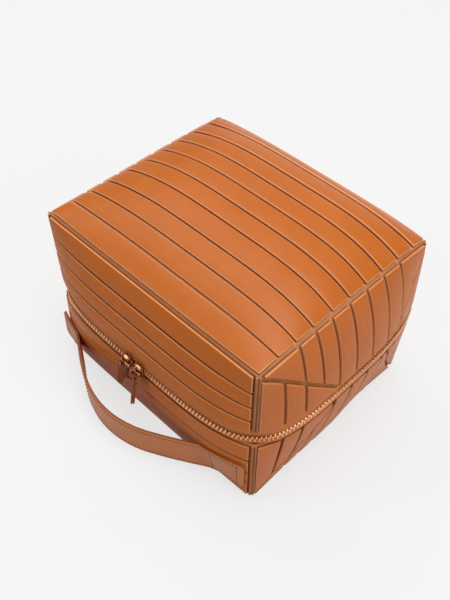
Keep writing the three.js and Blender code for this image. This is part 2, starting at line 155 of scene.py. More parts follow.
def smooth_share(value, low, high):
    share = np.clip((value - low) / (high - low), 0, 1)
    return share**2 * (3 - 2 * share)


def end_swell(y, level):
    """The share of an end's bulge at a level. Below the zip it turns into a tuck."""
    away = away_from_zip(level)
    tuck = END_TUCK["front"] + (END_TUCK["back"] - END_TUCK["front"]) * smooth_share(y, *TUCK_TURN)
    below = 1 - (1 + tuck) * away**END_TUCK_POWER
    return np.where(level < ZIP_HEIGHT, below, (1 - away**2) ** END_ROUNDNESS)


def sway(x, y, level):
    """How far a place is pushed to the right by a press at the left end, or drawn back at two corners."""
    share = np.maximum(0, -x / HALF_LENGTH) ** SWAY_POWER
    press = LEFT_PRESS * (1 - away_from_zip(level))
    front = np.maximum(0, -y / HALF_DEPTH) ** SWAY_POWER
    point = np.where(level < ZIP_HEIGHT, 0, CORNER_POINT * front * away_from_zip(level))
    back_corner = np.maximum(0, x / HALF_LENGTH) * np.maximum(0, y / HALF_DEPTH)
    tuck = np.where(level < ZIP_HEIGHT, BACK_TUCK * back_corner**SWAY_POWER * away_from_zip(level), 0)
    return share * (press - point) - tuck


def end_lift(side, y, level):
    """How far the contents push an end up: most at the zip, nothing at the base and at the lid."""
    spread = two_fades(y - ZIP_LIFT_PEAK_Y, ZIP_LIFT_FADE["front"], ZIP_LIFT_FADE["back"])
    below = LOWER_LIFT * (level / ZIP_HEIGHT) ** 2
    return ZIP_LIFT[side] * spread * np.where(level < ZIP_HEIGHT, below, 1 - away_from_zip(level))


print("the lid rises at its peak by", round(float(lid_height(0, LID_PEAK_Y)) - HEIGHT, 1), "mm")


# %% The five faces
def lid(x, y):
    x, y = np.broadcast_arrays(np.asarray(x, float), np.asarray(y, float))
    return np.stack([x + sway(x, y, HEIGHT), y, lid_height(x, y)], axis=-1)


def long_side(side):
    def surface(x, level):
        x, level = np.broadcast_arrays(np.asarray(x, float), np.asarray(level, float))
        bulge = LONG_SIDE_BULGE * fade(x, *LONG_SIDE_FADE) * (1 - away_from_zip(level) ** 2)
        z = wall_height(level, lid_height(x, np.full_like(x, side * HALF_DEPTH)))
        return np.stack([x + sway(x, side * HALF_DEPTH, level), side * (HALF_DEPTH + bulge), z], axis=-1)

    return surface


def end(side):
    def surface(y, level):
        y, level = np.broadcast_arrays(np.asarray(y, float), np.asarray(level, float))
        swell = two_fades(y, END_FADE["front"], END_FADE["back"])
        bulge = END_BULGE[side] * swell * end_swell(y, level)
        edge = np.full_like(y, side * HALF_LENGTH)
        z = wall_height(level, lid_height(edge, y)) + end_lift(side, y, level)
        return np.stack([side * (HALF_LENGTH + bulge) + sway(edge, y, level), y, z], axis=-1)

    return surface


FRONT, BACK = long_side(-1), long_side(1)
RIGHT, LEFT = end(1), end(-1)
OUTWARD = {lid: 1, FRONT: 1, BACK: -1, RIGHT: 1, LEFT: -1}
PROBE = 0.05


def lifted(surface, u, v, out):
    """Points that stand over a surface by out, measured along its normal."""
    along = surface(u + PROBE, v) - surface(u - PROBE, v)
    across = surface(u, v + PROBE) - surface(u, v - PROBE)
    normal = np.cross(along, across) * OUTWARD[surface]
    normal /= np.linalg.norm(normal, axis=-1, keepdims=True)
    return surface(u, v) + normal * np.broadcast_to(out, normal.shape[:-1])[..., None]


print("the right end stands out to", round(float(RIGHT(0, ZIP_HEIGHT)[0]), 1), "mm")

# %% [markdown]
# ## Materials
# Three finishes make the bag: smooth grained leather, napped ground leather, and polished copper,
# with a woven tape, a waxed thread, and a dark band of painted shade at the base besides. Grain and
# mottling are needed by most of them, so they live in one node group with named inputs. Each material
# adds its own colours, and the shader itself stays in the material. The leather also reads an
# attribute of the mesh that says where a rim gets a painted highlight and where a strip's foot gets
# painted shade in its groove, or the strap's cut edge its dark edge paint, because only the mesh knows
# its edges.


# %% Node helpers
def node(tree, kind, **settings):
    made = tree.nodes.new(kind)
    for name, value in settings.items():
        setattr(made, name, value)
    return made


def wire(tree, source, target):
    tree.links.new(source, target)


def new_group(name, inputs, outputs):
    group = bpy.data.node_groups.new(name, "ShaderNodeTree")
    for label, kind, default in inputs:
        socket = group.interface.new_socket(label, in_out="INPUT", socket_type=kind)
        if default is not None:
            socket.default_value = default
    for label, kind in outputs:
        group.interface.new_socket(label, in_out="OUTPUT", socket_type=kind)
    return group, group.nodes.new("NodeGroupInput"), group.nodes.new("NodeGroupOutput")


# %% The grain group
def grain_group():
    """Height of the grain for bump, and a slow mottle for colour and gloss."""
    inputs = [("Vector", "NodeSocketVector", None), ("Pebble Size", "NodeSocketFloat", 1200.0),
              ("Mottle Size", "NodeSocketFloat", 60.0)]
    outputs = [("Height", "NodeSocketFloat"), ("Mottle", "NodeSocketFloat")]
    group, start, finish = new_group("leather grain", inputs, outputs)
    pebbles = node(group, "ShaderNodeTexVoronoi", feature="SMOOTH_F1")
    pebbles.inputs["Smoothness"].default_value = 0.6
    pebbles.inputs["Detail"].default_value = 1.0
    fibre = node(group, "ShaderNodeTexNoise")
    fibre.inputs["Detail"].default_value = 3.0
    mottle = node(group, "ShaderNodeTexNoise")
    mottle.inputs["Detail"].default_value = 4.0
    mottle.inputs["Roughness"].default_value = 0.6
    coarser = node(group, "ShaderNodeMath", operation="MULTIPLY")
    coarser.inputs[1].default_value = 0.35
    blend = node(group, "ShaderNodeMix", data_type="FLOAT")
    blend.inputs[0].default_value = 0.45
    for texture in (pebbles, fibre, mottle):
        wire(group, start.outputs["Vector"], texture.inputs["Vector"])
    wire(group, start.outputs["Pebble Size"], pebbles.inputs["Scale"])
    wire(group, start.outputs["Pebble Size"], coarser.inputs[0])
    wire(group, coarser.outputs[0], fibre.inputs["Scale"])
    wire(group, start.outputs["Mottle Size"], mottle.inputs["Scale"])
    wire(group, pebbles.outputs["Distance"], blend.inputs[2])
    wire(group, fibre.outputs["Fac"], blend.inputs[3])
    wire(group, blend.outputs[0], finish.inputs["Height"])
    wire(group, mottle.outputs["Fac"], finish.inputs["Mottle"])
    return group


GRAIN = grain_group()
print("node group made:", GRAIN.name)


# %% Helpers for materials
def new_material(name):
    material = bpy.data.materials.new(name)
    material.use_nodes = True
    tree = material.node_tree
    return material, tree, tree.nodes["Principled BSDF"]


def ranged(tree, value, low, high):
    """A value from 0.25 to 0.75, as noise gives, stretched to run from low to high."""
    spread = node(tree, "ShaderNodeMapRange")
    spread.inputs["From Min"].default_value = 0.25
    spread.inputs["From Max"].default_value = 0.75
    spread.inputs["To Min"].default_value = low
    spread.inputs["To Max"].default_value = high
    wire(tree, value, spread.inputs["Value"])
    return spread.outputs["Result"]


def mixed(tree, factor, first, second):
    """A colour between two: each is a plain colour or the output of another node."""
    mix = node(tree, "ShaderNodeMix", data_type="RGBA")
    wire(tree, factor, mix.inputs[0])
    for colour, socket in ((first, mix.inputs[6]), (second, mix.inputs[7])):
        if isinstance(colour, tuple):
            socket.default_value = (*colour, 1)
        else:
            wire(tree, colour, socket)
    return mix.outputs[2]


def grained(tree, pebble_size, mottle_size):
    """The grain of one material, and its mottle stretched to run from 0 to 1."""
    place = node(tree, "ShaderNodeTexCoord")
    grain = node(tree, "ShaderNodeGroup", node_tree=GRAIN)
    grain.inputs["Pebble Size"].default_value = pebble_size
    grain.inputs["Mottle Size"].default_value = mottle_size
    wire(tree, place.outputs["Object"], grain.inputs["Vector"])
    return grain, ranged(tree, grain.outputs["Mottle"], 0, 1)


def bumped(tree, shader, height, strength, depth):
    bump = node(tree, "ShaderNodeBump")
    bump.inputs["Strength"].default_value = strength
    bump.inputs["Distance"].default_value = depth
    wire(tree, height, bump.inputs["Height"])
    wire(tree, bump.outputs["Normal"], shader.inputs["Normal"])


def share_between(tree, value, low, high):
    """How far a value has gone from low to high, kept between 0 and 1."""
    share = node(tree, "ShaderNodeMapRange")
    share.inputs["From Min"].default_value = low
    share.inputs["From Max"].default_value = high
    wire(tree, value, share.inputs["Value"])
    return share.outputs["Result"]


# %% The leather and suede materials
# Painted highlight: the pale colour of the strips' rims.
RIM_HIGHLIGHT_COLOUR = (0.94, 0.46, 0.21)
# Painted shade: the dark colour of the strips' feet in their grooves. The strap's cut edge takes it too, as
# its real dark edge paint.
GROOVE_SHADE_AND_EDGE_PAINT = (0.33, 0.070, 0.009)
FOOT_TURN = (1.2, 1.9)  # where the edge attribute turns from the rim's colour to the foot's
TOP_LIGHT_TURN = (0.3, 0.8)  # how far up the ground faces where painted top light starts to pale it, and where it is palest


def leather_material(name, dark, light, shine=0.26):
    """Smooth leather. The attribute edge is 1 where a rim has a painted highlight, and about 2 where a
    strip's foot has painted shade or the strap's cut edge has dark edge paint.
    """
    material, tree, shader = new_material(name)
    grain, even = grained(tree, pebble_size=1300, mottle_size=45)
    face = mixed(tree, even, dark, light)
    edge = node(tree, "ShaderNodeAttribute", attribute_name="edge").outputs["Fac"]
    highlighted = mixed(tree, share_between(tree, edge, 0, 1), face, RIM_HIGHLIGHT_COLOUR)
    shaded_or_edge_painted = mixed(tree, share_between(tree, edge, *FOOT_TURN), highlighted, GROOVE_SHADE_AND_EDGE_PAINT)
    wire(tree, shaded_or_edge_painted, shader.inputs["Base Color"])
    wire(tree, ranged(tree, grain.outputs["Mottle"], 0.33, 0.40), shader.inputs["Roughness"])
    shader.inputs["Specular IOR Level"].default_value = shine
    bumped(tree, shader, grain.outputs["Height"], strength=0.19, depth=0.0002)
    return material


def suede_material():
    """Napped ground leather, matt: olive, with painted top light that makes it paler where it faces up."""
    material, tree, shader = new_material("ground suede")
    grain, even = grained(tree, pebble_size=2600, mottle_size=160)
    way = node(tree, "ShaderNodeSeparateXYZ")
    wire(tree, node(tree, "ShaderNodeNewGeometry").outputs["Normal"], way.inputs[0])
    top_light_share = share_between(tree, way.outputs["Z"], *TOP_LIGHT_TURN)
    # Painted top light: the ground is paler where it faces up.
    aside = mixed(tree, even, (0.42, 0.146, 0.038), (0.52, 0.186, 0.057))
    above = mixed(tree, even, (0.64, 0.270, 0.115), (0.76, 0.335, 0.155))
    wire(tree, mixed(tree, top_light_share, aside, above), shader.inputs["Base Color"])
    shader.inputs["Roughness"].default_value = 0.92
    shader.inputs["Specular IOR Level"].default_value = 0.2
    shader.inputs["Sheen Weight"].default_value = 0.15
    bumped(tree, shader, grain.outputs["Height"], strength=0.35, depth=0.0003)
    return material


TAN_LEATHER = leather_material("tan leather", (0.58, 0.142, 0.018), (0.64, 0.170, 0.025))
SIDE_LEATHER = leather_material("side leather", (0.62, 0.150, 0.018), (0.68, 0.178, 0.025), shine=0.09)
# The pulls are a darker copy of the tan leather, painted shade.
SHADED_PULL_LEATHER = leather_material("pull leather with painted shade", (0.28, 0.055, 0.007), (0.34, 0.072, 0.010))
# The strap is a paler, greyer copy of the tan leather, painted sheen.
SHEENED_STRAP_LEATHER = leather_material("strap leather with painted sheen", (0.61, 0.194, 0.052), (0.69, 0.232, 0.070))
SUEDE = suede_material()
LEATHERS = (TAN_LEATHER, SIDE_LEATHER, SHADED_PULL_LEATHER, SHEENED_STRAP_LEATHER, SUEDE)
print("leathers:", [material.name for material in LEATHERS])


# %% The copper, tape and thread materials, and the painted shade of the base
def copper_material(name, dark, light, roughness):
    """Polished copper-coloured metal with faint smudges."""
    material, tree, shader = new_material(name)
    grain, even = grained(tree, pebble_size=3000, mottle_size=500)
    wire(tree, mixed(tree, even, dark, light), shader.inputs["Base Color"])
    wire(tree, ranged(tree, grain.outputs["Mottle"], *roughness), shader.inputs["Roughness"])
    shader.inputs["Metallic"].default_value = 1.0
    return material


def tape_material():
    """Woven zip tape: a twill of fine slanting ribs that follows the tape's own map."""
    material, tree, shader = new_material("zip tape")
    place = node(tree, "ShaderNodeUVMap", uv_map="UVMap")
    ribs = node(tree, "ShaderNodeTexWave", wave_type="BANDS", bands_direction="DIAGONAL")
    ribs.inputs["Scale"].default_value = 5.5
    ribs.inputs["Distortion"].default_value = 0.6
    wire(tree, place.outputs["UV"], ribs.inputs["Vector"])
    wire(tree, mixed(tree, ribs.outputs["Fac"], (0.66, 0.190, 0.040), (0.78, 0.255, 0.064)),
         shader.inputs["Base Color"])
    shader.inputs["Roughness"].default_value = 0.85
    bumped(tree, shader, ribs.outputs["Fac"], strength=0.3, depth=0.0002)
    return material


def thread_material():
    """Waxed sewing thread, darker than the leather."""
    material, tree, shader = new_material("waxed thread")
    grain, even = grained(tree, pebble_size=5000, mottle_size=900)
    wire(tree, mixed(tree, even, (0.10, 0.028, 0.008), (0.16, 0.045, 0.013)), shader.inputs["Base Color"])
    shader.inputs["Roughness"].default_value = 0.9
    shader.inputs["Specular IOR Level"].default_value = 0.1
    bumped(tree, shader, grain.outputs["Height"], strength=0.4, depth=0.0001)
    return material


def base_shade_material():
    """A dark colour of painted shade for the band round the base, where the base meets the floor."""
    material, tree, shader = new_material("painted base shade")
    grain, even = grained(tree, pebble_size=1500, mottle_size=120)
    wire(tree, mixed(tree, even, (0.070, 0.022, 0.008), (0.105, 0.034, 0.012)), shader.inputs["Base Color"])
    shader.inputs["Roughness"].default_value = 0.7
    bumped(tree, shader, grain.outputs["Height"], strength=0.2, depth=0.0002)
    return material


COPPER = copper_material("tooth copper", (0.78, 0.42, 0.21), (0.88, 0.50, 0.27), (0.24, 0.34))
CAST_COPPER = copper_material("cast copper", (0.32, 0.125, 0.052), (0.41, 0.170, 0.074), (0.18, 0.30))
BASE_SHADE = base_shade_material()
TAPE = tape_material()
THREAD = thread_material()
OTHER_FINISHES = (COPPER, CAST_COPPER, BASE_SHADE, TAPE, THREAD)
print("other finishes:", [material.name for material in OTHER_FINISHES])

# %% [markdown]
# ## Pieces from grids
# A leather strip is a thin slab with rounded edges. Drawing its edge lines close together and its
# middle lines far apart gives a soft edge with few faces. The same grids serve the flat strap and the
# pulls, so the helpers here only know about lengths, widths and the distance to the nearest edge.


# %% Pieces from grids
BORDER_ROOM = 2.2  # a narrower piece than this many borders has them squeezed


def lines_across(length, steps, border):
    """Places from one edge to the other, close together at both edges. length may be an array."""
    length = np.asarray(length, float)[..., None]
    close = np.asarray(border) * np.minimum(1, length / (BORDER_ROOM * border[-1]))
    inner = close[..., -1:] + (length - 2 * close[..., -1:]) * np.linspace(0, 1, steps + 1)[1:-1]
    return np.concatenate([close, inner, length - close[..., ::-1]], axis=-1)


def soft_corners(a, length, b, width, corner):
    """Rounds the corners of a grid in plan. Gives the new places and each one's distance to the edge."""
    from_a = np.minimum(a, length - a)
    from_b = np.minimum(b, width - b)
    p = np.maximum(0, corner - from_a)
    q = np.maximum(0, corner - from_b)
    p_round = p * np.sqrt(1 - q**2 / (2 * corner**2))
    q_round = q * np.sqrt(1 - p**2 / (2 * corner**2))
    new_a = np.where(a < length / 2, a + p - p_round, a - p + p_round)
    new_b = np.where(b < width / 2, b + q - q_round, b - q + q_round)
    in_corner = (p > 0) & (q > 0)
    distance = np.where(in_corner, corner - np.hypot(p_round, q_round), np.minimum(from_a, from_b))
    return new_a, new_b, np.maximum(0, distance)


def round_drop(distance, radius):
    """How far a rounded edge lies below the flat, at a distance from the edge."""
    inside = np.maximum(0, radius - distance)
    return radius - np.sqrt(np.maximum(0, radius**2 - inside**2))


# %% Slabs and pieces
def closed_slab(top, bottom):
    """The faces of a slab from two grids of the same shape."""
    rows, columns = top.shape[:2]
    count = rows * columns
    index = np.arange(count).reshape(rows, columns)
    faces = np.stack([index[:-1, :-1], index[1:, :-1], index[1:, 1:], index[:-1, 1:]], -1).reshape(-1, 4)
    rim = np.concatenate([index[:-1, 0], index[-1, :-1], index[:0:-1, -1], index[0, :0:-1]])
    nxt = np.roll(rim, -1)
    walls = np.stack([rim, rim + count, nxt + count, nxt], -1)
    faces = np.concatenate([faces, faces[:, ::-1] + count, walls])
    return np.concatenate([top.reshape(-1, 3), bottom.reshape(-1, 3)]), faces


def joined(slabs):
    """Several sets of points, faces and edge values as one."""
    points, faces, edges, start = [], [], [], 0
    for some_points, some_faces, some_edges in slabs:
        points.append(some_points)
        faces.append(some_faces + start)
        edges.append(some_edges)
        start += len(some_points)
    return np.concatenate(points), np.concatenate(faces), np.concatenate(edges)


SMOOTH_ANGLE = math.radians(55)


def face_outwards(mesh):
    shape = bmesh.new()
    shape.from_mesh(mesh)
    bmesh.ops.recalc_face_normals(shape, faces=shape.faces)
    shape.to_mesh(mesh)
    shape.free()


def piece(name, points, faces, material, edges=None):
    """A mesh object from points in millimetres, facing outwards and shaded smooth."""
    mesh = bpy.data.meshes.new(name)
    mesh.from_pydata((np.asarray(points) * MM).tolist(), [], [list(map(int, face)) for face in faces])
    if edges is not None:
        mesh.attributes.new("edge", "FLOAT", "POINT").data.foreach_set("value", np.asarray(edges, np.float32))
    face_outwards(mesh)
    mesh.polygons.foreach_set("use_smooth", np.ones(len(mesh.polygons), bool))
    mesh.set_sharp_from_angle(angle=SMOOTH_ANGLE)
    mesh.materials.append(material)
    made = bpy.data.objects.new(name, mesh)
    bpy.context.collection.objects.link(made)
    return made


def stands_for(made, slot, *nodes):
    """A finished piece rides with the bag, and takes the place of its nodes of the frame."""
    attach(made, "root")
    if nodes:
        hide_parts(*nodes)
    return made


# %% [markdown]
# ## The ground leather
# The walls under the strips show as olive bands along every seam and in every groove. They are built
# as one shell: rings of points round the box, a lid and a base on the same lines, and a slit where the
# zip goes. The twelve edges of the box carry a bevel weight, so that one Bevel modifier folds the
# leather round every corner, and Solidify gives it its thickness.

# %% The ground leather
WALL = 1.2
FOLD = 1.2
FOLD_SEGMENTS = 4
FIRST_LINE = 2.6
GROUND_STEPS = {"x": 60, "y": 50, "level": 20}
ZIP_END_Y = HALF_DEPTH - FIRST_LINE


def lines_between(low, high, steps):
    """Lines over a panel, with the first and last ones a fold's width from the edges."""
    return np.concatenate([[low], np.linspace(low + FIRST_LINE, high - FIRST_LINE, steps), [high]])


def ground_points(xs, ys, levels):
    """Rings round the box at each level, then the inner points of the lid and of the base."""
    rings = []
    for level in levels:
        sides = [FRONT(xs[:-1], level), RIGHT(ys[:-1], level), BACK(xs[:0:-1], level), LEFT(ys[:0:-1], level)]
        rings.append(np.concatenate(sides))
    x_inner, y_inner = np.meshgrid(xs[1:-1], ys[1:-1], indexing="ij")
    top = lid(x_inner, y_inner).reshape(-1, 3)
    share = (x_inner + HALF_LENGTH) / (2 * HALF_LENGTH)
    low_x = LEFT(y_inner, 0)[..., 0] * (1 - share) + RIGHT(y_inner, 0)[..., 0] * share
    base = np.stack([low_x, y_inner, np.zeros_like(low_x)], -1).reshape(-1, 3)
    return np.concatenate([*rings, top, base])


def ground_faces(xs, ys, levels):
    nx, ny, rows = len(xs), len(ys), len(levels)
    ring = 2 * (nx + ny) - 4
    faces = []
    for row in range(rows - 1):
        for column in range(ring):
            on_front = column < nx - 1
            on_right = nx - 1 <= column < nx + ny - 3
            on_left = column > 2 * nx + ny - 3
            if levels[row] == LOWER_RIM and (on_front or on_right or on_left):
                continue
            low, following = row * ring + column, row * ring + (column + 1) % ring
            faces.append((low, following, following + ring, low + ring))
    for first, inner in (((rows - 1) * ring, rows * ring), (0, rows * ring + (nx - 2) * (ny - 2))):
        grid = np.empty((nx, ny), int)
        grid[:, 0] = first + np.arange(nx)
        grid[-1, :] = first + nx - 1 + np.arange(ny)
        grid[::-1, -1] = first + nx + ny - 2 + np.arange(nx)
        grid[0, 1:] = first + (ring - np.arange(1, ny)) % ring
        grid[1:-1, 1:-1] = inner + np.arange((nx - 2) * (ny - 2)).reshape(nx - 2, ny - 2)
        cells = np.stack([grid[:-1, :-1], grid[1:, :-1], grid[1:, 1:], grid[:-1, 1:]], -1).reshape(-1, 4)
        faces.extend(map(tuple, cells))
    return faces


# %% The ground shell
def fold_edges(shell, nx, ny, rows):
    """Gives the box's twelve edges their bevel weight."""
    ring = 2 * (nx + ny) - 4
    corners = {0, nx - 1, nx + ny - 2, 2 * nx + ny - 3}
    weights = shell.data.attributes.new("bevel_weight_edge", "FLOAT", "EDGE")
    for edge in shell.data.edges:
        first, second = edge.vertices
        row_a, row_b = first // ring, second // ring
        on_ring = row_a == row_b and row_a in (0, rows - 1)
        upright = row_a != row_b and max(row_a, row_b) < rows and first % ring == second % ring in corners
        weights.data[edge.index].value = float(on_ring or upright)


def ground_shell():
    xs = lines_between(-HALF_LENGTH, HALF_LENGTH, GROUND_STEPS["x"])
    ys = lines_between(-HALF_DEPTH, HALF_DEPTH, GROUND_STEPS["y"])
    steps = GROUND_STEPS["level"]
    lower = np.concatenate([[0], np.linspace(FIRST_LINE, LOWER_RIM, steps)])
    upper = np.concatenate([np.linspace(UPPER_RIM, HEIGHT - FIRST_LINE, steps), [HEIGHT]])
    levels = np.concatenate([lower, upper])
    shell = piece("ground_shell", ground_points(xs, ys, levels), ground_faces(xs, ys, levels), SUEDE)
    fold_edges(shell, len(xs), len(ys), len(levels))
    bevel = shell.modifiers.new("fold", "BEVEL")
    bevel.limit_method = "WEIGHT"
    bevel.width = FOLD * MM
    bevel.segments = FOLD_SEGMENTS
    thick = shell.modifiers.new("thickness", "SOLIDIFY")
    thick.thickness = WALL * MM
    thick.offset = -1
    return shell


shell = stands_for(ground_shell(), "ground_leather", "ground_lid", "ground_front_upper", "ground_front_lower",
                   "ground_back", "ground_right_upper", "ground_right_lower", "ground_left_upper",
                   "ground_left_lower", "base_panel")
print("the ground shell has", len(shell.data.polygons), "faces before its fold and thickness")

# %% [markdown]
# ## The strips
# Each strip follows its panel's surface at a small height, with rounded long edges and a slight crown,
# as leather has that is turned over a filler and sewn down. It is a little wider at its foot, and the
# edge attribute marks a painted highlight on its rim and painted shade at its foot. The lid has ten
# strips, the front and the back six each. On the ends, a middle panel carries on the lid's strips, and
# gussets of upright strips fill the corners beyond slanting bands, so these strips are cut off on the slant.

# %% One strip
STRIP_TOP = 2.1
STRIP_FOOT = 0.02
STRIP_ROUND = 0.35
STRIP_CORNER = 0.7
STRIP_SPLAY = 0.2  # how much wider a strip is at its foot
STRIP_BORDER = (0.0, 0.05, 0.15, 0.32, 0.55, 0.9)
CROWN = 0.3
CROWN_REACH = 4.0
RIM_REACH = 0.55
RIM_STRENGTH = 1.3
CUT_REACH = 0.01
# The edge attribute on a face beside its rim, beside the rim on the far side, on the rim and at its foot:
# how strong the painted highlight is on each kind of panel, weaker on far rims, and how much painted
# shade darkens the rim and the foot
LID_EDGE = {"face": 1.0, "far": 0.75, "rim": 1.0, "foot": 3.0}
END_EDGE = {"face": 0.4, "rim": 1.25, "foot": 1.9}
LOW_EDGE = {"face": 0.25, "rim": 1.5, "foot": 2.1}
SIDE_EDGE = {"face": 0.4, "rim": 1.0, "foot": 3.0}


def rim_highlight(distance):
    """The edge attribute on a face, which sets the painted highlight: 1 at the rim, falling to 0 a little way
    in.
    """
    return np.clip(RIM_STRENGTH * (1 - distance / RIM_REACH), 0, 1)


def even_height(height):
    def at(u, v):
        return np.full(np.broadcast(u, v).shape, height)

    return at


FULL_HEIGHT = even_height(STRIP_TOP)


def strip(surface, u_start, a, length, v_start, b, width, height=FULL_HEIGHT, edge=LID_EDGE):
    """One strip over a surface: a and b are places along and across it, from its start."""
    a, b, distance = soft_corners(a, length, b, width, STRIP_CORNER)
    flat = height(u_start + a, v_start + b)
    crown = CROWN * (1 - (1 - np.minimum(1, distance / CROWN_REACH)) ** 2)
    top = lifted(surface, u_start + a, v_start + b, flat - round_drop(distance, STRIP_ROUND) + crown)
    foot_a = a + STRIP_SPLAY * (2 * a / length - 1)
    foot_b = b + STRIP_SPLAY * (2 * b / width - 1)
    foot = lifted(surface, u_start + foot_a, v_start + foot_b, STRIP_FOOT)
    points, faces = closed_slab(top, foot)
    # Painted highlight on the rim of the face, and painted shade on the cut edge and the foot.
    face = np.where(b < width / 2, edge["face"], edge.get("far", edge["face"]))
    rim = np.where(distance < CUT_REACH, edge["rim"], face * rim_highlight(distance))
    return points, faces, np.concatenate([rim.ravel(), np.full(distance.size, edge["foot"])])


def straight_strip(surface, u_span, v_span, steps, height=FULL_HEIGHT, edge=LID_EDGE):
    """A strip between two lines each way."""
    length, width = u_span[1] - u_span[0], v_span[1] - v_span[0]
    a = lines_across(length, steps[0], STRIP_BORDER)
    b = lines_across(width, steps[1], STRIP_BORDER)
    a, b = np.meshgrid(a, b, indexing="ij")
    return strip(surface, u_span[0], a, length, v_span[0], b, width, height, edge)


print("a strip stands", round(STRIP_TOP + CROWN, 1), "mm over the ground")


# %% The strips of the lid and of the long sides
LID_LINES = [-58.8, -44.8, -30.8, -14.8, 0.1, 15, 29.6, 44.6, 60]  # the middles of the grooves
LID_STRIPS = len(LID_LINES) + 1
LID_GROOVES = [1.6, 1.6, 1.6, 1.6, 1.6, 1.6, 1.8, 2.3, 3.0]
LID_FRONT_BAND = 1.2
LID_OPENING = (1.3, 40.0)  # how much wider the grooves are at the left, and over what length they open
LID_END_BAND = 0.8
LONG_SIDE_BAND = 2.6
LONG_STEPS = 60
LID_STEPS = 7  # across one strip of the lid
SKIVED = 1.3  # how much thinner the lid's strips are where they are sewn in, at the left and at the back
SKIVE_LEFT = (-84.0, 5.0)  # where the thinning starts, and its length
SKIVE_BACK = (65.0, 7.0)
BASE_BAND = 2.6
LONG_SIDE_STRIPS = [(110.6, 123.8), (98.0, 108.7), (85.3, 96.0), (73.7, 83.1),
                    (43.4, 57.5), (BASE_BAND, 41.1)]  # the low and the high level of each, from the lid down


def skived_height(x, y):
    left = np.clip((SKIVE_LEFT[0] - x) / SKIVE_LEFT[1], 0, 1)
    back = np.clip((y - SKIVE_BACK[0]) / SKIVE_BACK[1], 0, 1)
    return STRIP_TOP - SKIVED * np.maximum(left, back)


def lid_strip(index):
    edge = HALF_DEPTH - LID_FRONT_BAND
    low = -edge if index == 0 else LID_LINES[index - 1] + LID_GROOVES[index - 1] / 2
    high = edge if index == len(LID_LINES) else LID_LINES[index] - LID_GROOVES[index] / 2
    half = HALF_LENGTH - LID_END_BAND
    a = lines_across(2 * half, LONG_STEPS, STRIP_BORDER)
    opening, reach = LID_OPENING
    low = low + (0 if index == 0 else opening) * np.maximum(0, 1 - a[:, None] / reach) ** 2
    b = lines_across((high - low)[:, 0], LID_STEPS, STRIP_BORDER)
    a = np.broadcast_to(a[:, None], b.shape)
    return strip(lid, -half, a, 2 * half, low, b, high - low, skived_height)


def long_side_strip(surface, low, high):
    half = HALF_LENGTH - LONG_SIDE_BAND
    edge = SIDE_EDGE if low > ZIP_HEIGHT else LOW_EDGE
    steps = (LONG_STEPS, max(5, round((high - low) / 2)))
    return straight_strip(surface, (-half, half), (low, high), steps, edge=edge)


def strip_parts(slab, material=TAN_LEATHER):
    points, faces, edges = slab
    return points, faces, material, edges


def add_long_strips():
    for index in range(LID_STRIPS):
        name = f"top_strip_{index + 1}"
        stands_for(piece(f"{name}_leather", *strip_parts(lid_strip(index))), "strip_leather", name)
    for side, surface in (("front", FRONT), ("back", BACK)):
        for index, (low, high) in enumerate(LONG_SIDE_STRIPS):
            name = f"{side}_strip_{index + 1}"
            made = piece(f"{name}_leather", *strip_parts(long_side_strip(surface, low, high), SIDE_LEATHER))
            stands_for(made, "strip_leather", name)


add_long_strips()
print("strips on the lid, the front and the back:", LID_STRIPS + 2 * len(LONG_SIDE_STRIPS))

# %% The slanting bands of the ends
END_LINES = [-44.4, -30.9, -17.3, -1.9, 13.4, 29.4, 45.2]
GUSSET_LINES = {-1: (-58.3, END_LINES[0]), 1: (60, END_LINES[-1])}
GUSSET_BAND = 1.6
END_GROOVE = 2.4
SEAM_BAND = 1.6
SLANTS = {-1: (18, 1.1), 1: (36, 1.05)}  # towards the front or the back: foot at the zip, and bow
SLANT_HALF_BAND = 2.1
SLANT_START = 2.0
SHORTEST_STRIP = 0.6
END_STEPS = (8, 20)  # across one strip of an end, and along it
END_HALVES = {
    "upper": {"seam": HEIGHT - SEAM_BAND, "corner": HEIGHT - SLANT_START, "edge": 73.7, "bowing": 1},
    "lower": {"seam": BASE_BAND, "corner": SLANT_START, "edge": 57.5, "bowing": 1.2},
}


def slant_share(y, bowing):
    """How far along its slanting band a place lies: 0 at the box's corner, 1 at the zip."""
    foot = np.where(y < 0, SLANTS[-1][0], SLANTS[1][0])
    bow = np.where(y < 0, SLANTS[-1][1], SLANTS[1][1])
    return np.maximum(0, (HALF_DEPTH - np.abs(y)) / (HALF_DEPTH - foot)) ** (bow * bowing)


def slant_place(share, towards, bowing):
    foot, bow = SLANTS[towards]
    return towards * (HALF_DEPTH - (HALF_DEPTH - foot) * share ** (1 / (bow * bowing)))


def middle_span(y, seam, corner, edge, bowing):
    to_seam = np.sign(seam - edge)
    slanted = corner + (edge - corner) * slant_share(y, bowing) + to_seam * SLANT_HALF_BAND
    return to_seam * np.maximum(to_seam * edge, to_seam * slanted), np.full_like(y, seam)


def gusset_span(y, seam, corner, edge, bowing):
    to_seam = np.sign(seam - edge)
    slanted = corner + (edge - corner) * slant_share(y, bowing) - to_seam * SLANT_HALF_BAND
    return np.full_like(y, edge), slanted


def middle_lines(seam, corner, edge, bowing):
    tip = seam - np.sign(seam - edge) * (SLANT_HALF_BAND + SHORTEST_STRIP)
    share = (tip - corner) / (edge - corner)
    return [slant_place(share, -1, bowing), *END_LINES, slant_place(share, 1, bowing)]


def gusset_lines(towards, seam, corner, edge, bowing):
    tip = edge + np.sign(seam - edge) * (SLANT_HALF_BAND + SHORTEST_STRIP)
    end_place = slant_place((tip - corner) / (edge - corner), towards, bowing)
    return sorted([towards * (HALF_DEPTH - GUSSET_BAND), *GUSSET_LINES[towards], end_place])


print("strips on the middle panel of an end:", len(END_LINES) + 1)


